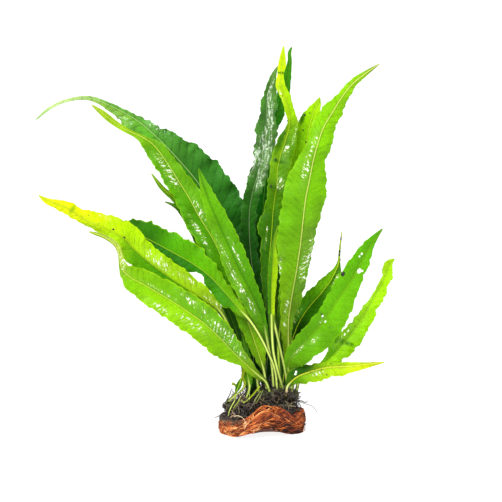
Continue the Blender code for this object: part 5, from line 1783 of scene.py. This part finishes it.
        YOUNG, fold=0, ruffle=0.0, quilt=0.0, step=0.5, stalk_radius=0.45,
    ),
    Frond(
        "frond_small_dark", LEFT_STEM, (-21.6, -15.4),
        ((-19.2, 20, -17, 0.35, 0.35), (-16.2, 22.8, -18, 0.4, 0.4), (-14.4, 26.4, -18.5, 1.7, 1.5),
         (-13.2, 29.4, -18.5, 1.5, 1.5), (-12.3, 32.4, -18, 0.4, 0.4)),
        FernTissue(SHADED.left, SHADED.right, RecordSlot.DARK, stalk="#4E6018", flank_shade="#26340C"),
        ruffle=0.2, quilt=0.1, step=0.5, stalk_radius=0.4,
    ),
    Frond(
        "frond_small_bright", LEFT_STEM, (-9.4, -10.6),
        ((-7.5, 25.8, -12, 1.1, 1.1), (-8.1, 30.6, -12, 2.5, 2.5), (-9, 35.4, -11.5, 2.6, 2.4),
         (-9.8, 40.2, -11, 1.5, 1.5), (-10.6, 45, -10, 0.4, 0.4)),
        PLAIN, fold=12, ruffle=0.3, quilt=0.1, step=0.5,
    ),
    Frond(
        "frond_small_shaded", BACK_STEM, (-8.6, -1.2),
        ((-6.6, 27, -3.5, 2.4, 2.4), (-7.4, 33, -4.5, 4, 4), (-9, 41, -4.5, 3.6, 3.4),
         (-10.4, 50, -2.5, 2.4, 2), (-11.4, 57.5, -1, 0.4, 0.4)),
        SHADED, ruffle=0.3, quilt=0.15, step=0.5,
    ),
    Frond(
        "stalk_cut_left", LEFT_STEM, (-12.4, -12.8),
        ((-11, 17.4, -15.8, 0.5, 0.5), (-7, 20.4, -17.2, 0.5, 0.5), (-1.2, 27.2, -17.5, 0.5, 0.5)),
        YOUNG, fold=0, ruffle=0.0, quilt=0.0, step=0.5, stalk_radius=0.55,
    ),
    Frond(
        "bud_left", LEFT_STEM, (-16.2, -12.5),
        ((-15.4, 25.2, -13, 0.6, 0.6), (-15.8, 27.9, -14, 0.6, 0.6), (-17.9, 28.8, -15, 0.9, 0.9)),
        YOUNG, fold=0, ruffle=0.0, quilt=0.0, step=0.5, stalk_radius=0.6,
    ),
)


# Studio


class LampKind(Enum):
    """Blender's kinds of lamp that the studio uses."""

    SUN = "SUN"
    SOFT_BOX = "AREA"


@dataclass(frozen=True)
class Lamp:
    """A lamp that is turned to the middle of the plant."""

    name: str
    kind: LampKind
    power: float
    spot: Place  # in metres
    breadth: float  # angle of a sun in radians, or size of a soft box in metres

    def stand(self, target: Place) -> None:
        """Stands the lamp in the scene.

        Args:
            target: The place in metres that it is turned to.
        """
        lamp = bpy.data.lights.new(self.name, self.kind.value)
        lamp.energy = self.power
        setattr(lamp, "angle" if self.kind is LampKind.SUN else "size", self.breadth)
        holder = bpy.data.objects.new(self.name, lamp)
        bpy.context.scene.collection.objects.link(holder)
        holder.location = self.spot
        way = Vector(target) - Vector(self.spot)
        holder.rotation_euler = way.to_track_quat("-Z", "Y").to_euler()


LAMPS = (
    Lamp("high_soft_sun", LampKind.SUN, 2.3, (-0.45, -1.0, 1.5), math.radians(30.0)),
    Lamp("front_soft_box", LampKind.SOFT_BOX, 9.0, (-0.45, -1.0, 0.75), 0.5),
    Lamp("rear_soft_box", LampKind.SOFT_BOX, 6.0, (0.7, 0.9, 0.9), 0.8),
)


@dataclass(frozen=True)
class Studio:
    """A pale floor, soft light from the upper left front, and the camera of the front view."""

    frame_width: float = 0.3012  # what the picture's width covers at the plant
    distance: float = 5.0
    aim: tuple[float, float] = (-0.0066, 0.108)  # across and up the drawing
    middle: Place = (0.0, 0.0, 0.11)  # of the plant, in metres
    sensor: float = 36.0
    floor_size: float = 12.0
    floor_gap: float = 0.1  # how far the floor lies under the pad in mm
    floor_glow: float = 0.88
    grain: float = 2.5  # of the floor in mm
    ceiling: float = 0.43  # how bright it is beside the walls

    def floor(self) -> Piece:
        """Lays the floor just under the pad.

        Returns:
            The floor's object.
        """
        half = self.floor_size / 2 / MM
        corners = [(-half, -half), (half, -half), (half, half), (-half, half)]
        corners = np.array([(*corner, -self.floor_gap) for corner in corners])
        ground = make_mesh("floor", corners, np.array([[0, 1, 2, 3]]))
        # Matt white translucent acrylic lit from below, with a faint grain, so that no shadow shows on it
        made, tree, shader = new_material("lit_white_acrylic")
        place = add_node(tree, "TexCoord", output=3)
        grain = add_node(tree, "TexNoise", {"Vector": place, "Scale": 1 / (self.grain * MM)})
        tone = add_node(tree, "MapRange", {0: grain, 3: 0.3, 4: 0.32})
        feed(tree, shader, {
            "Base Color": tone, "Roughness": 0.9, "Specular IOR Level": 0.1,
            "Emission Color": WHITE, "Emission Strength": self.floor_glow,
        })
        ground.data.materials.append(made)
        return ground

    def light(self) -> None:
        """Sets the soft white surroundings, a broad sun and two soft boxes."""
        world = bpy.data.worlds.new("white_surroundings")
        world.use_nodes = True
        backdrop = world.node_tree.nodes["Background"]
        # White walls up to about 10 degrees over the horizon, and a dimmer ceiling above them
        way = add_node(world.node_tree, "TexCoord")
        height = add_node(world.node_tree, "SeparateXYZ", {0: way}, output=2)
        glow = {0: height, 1: 0.17, 2: 0.3, 3: 1.0, 4: self.ceiling}
        glow = add_node(world.node_tree, "MapRange", glow)
        feed(world.node_tree, backdrop, {"Color": WHITE, "Strength": glow})
        bpy.context.scene.world = world
        for lamp in LAMPS:
            lamp.stand(self.middle)

    def camera(self) -> None:
        """Sets the long lens that sees the plant as the drawing does."""
        right = Vector((1.0, 0.0, 0.0))
        up = Vector((0.0, math.sin(VIEW_TILT), math.cos(VIEW_TILT)))
        forward = Vector((0.0, math.cos(VIEW_TILT), -math.sin(VIEW_TILT)))
        lens = bpy.data.cameras.new("front_camera")
        lens.sensor_width = self.sensor
        lens.lens = self.sensor * self.distance / self.frame_width
        lens.clip_end = 60.0
        holder = bpy.data.objects.new("front_camera", lens)
        bpy.context.scene.collection.objects.link(holder)
        spot = right * self.aim[0] + up * self.aim[1] - forward * self.distance
        turn = Matrix((right, up, -forward)).transposed().to_4x4()
        holder.matrix_world = Matrix.Translation(spot) @ turn
        bpy.context.scene.camera = holder


def main() -> None:
    """Builds the plant in order, from the pad up."""
    logging.basicConfig(level=logging.INFO, format="%(name)s: %(message)s")
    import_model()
    studio = Studio()
    studio.camera()
    studio.floor()
    studio.light()
    bpy.context.scene.view_settings.view_transform = "Standard"
    pad = CoirPad()
    for piece in (pad, RootMass(pad), *STEMS, *FRONDS):
        made = piece.build()
        LOG.info("%s: %d faces", made.name, len(made.data.polygons))


if __name__ == "__main__":
    main()
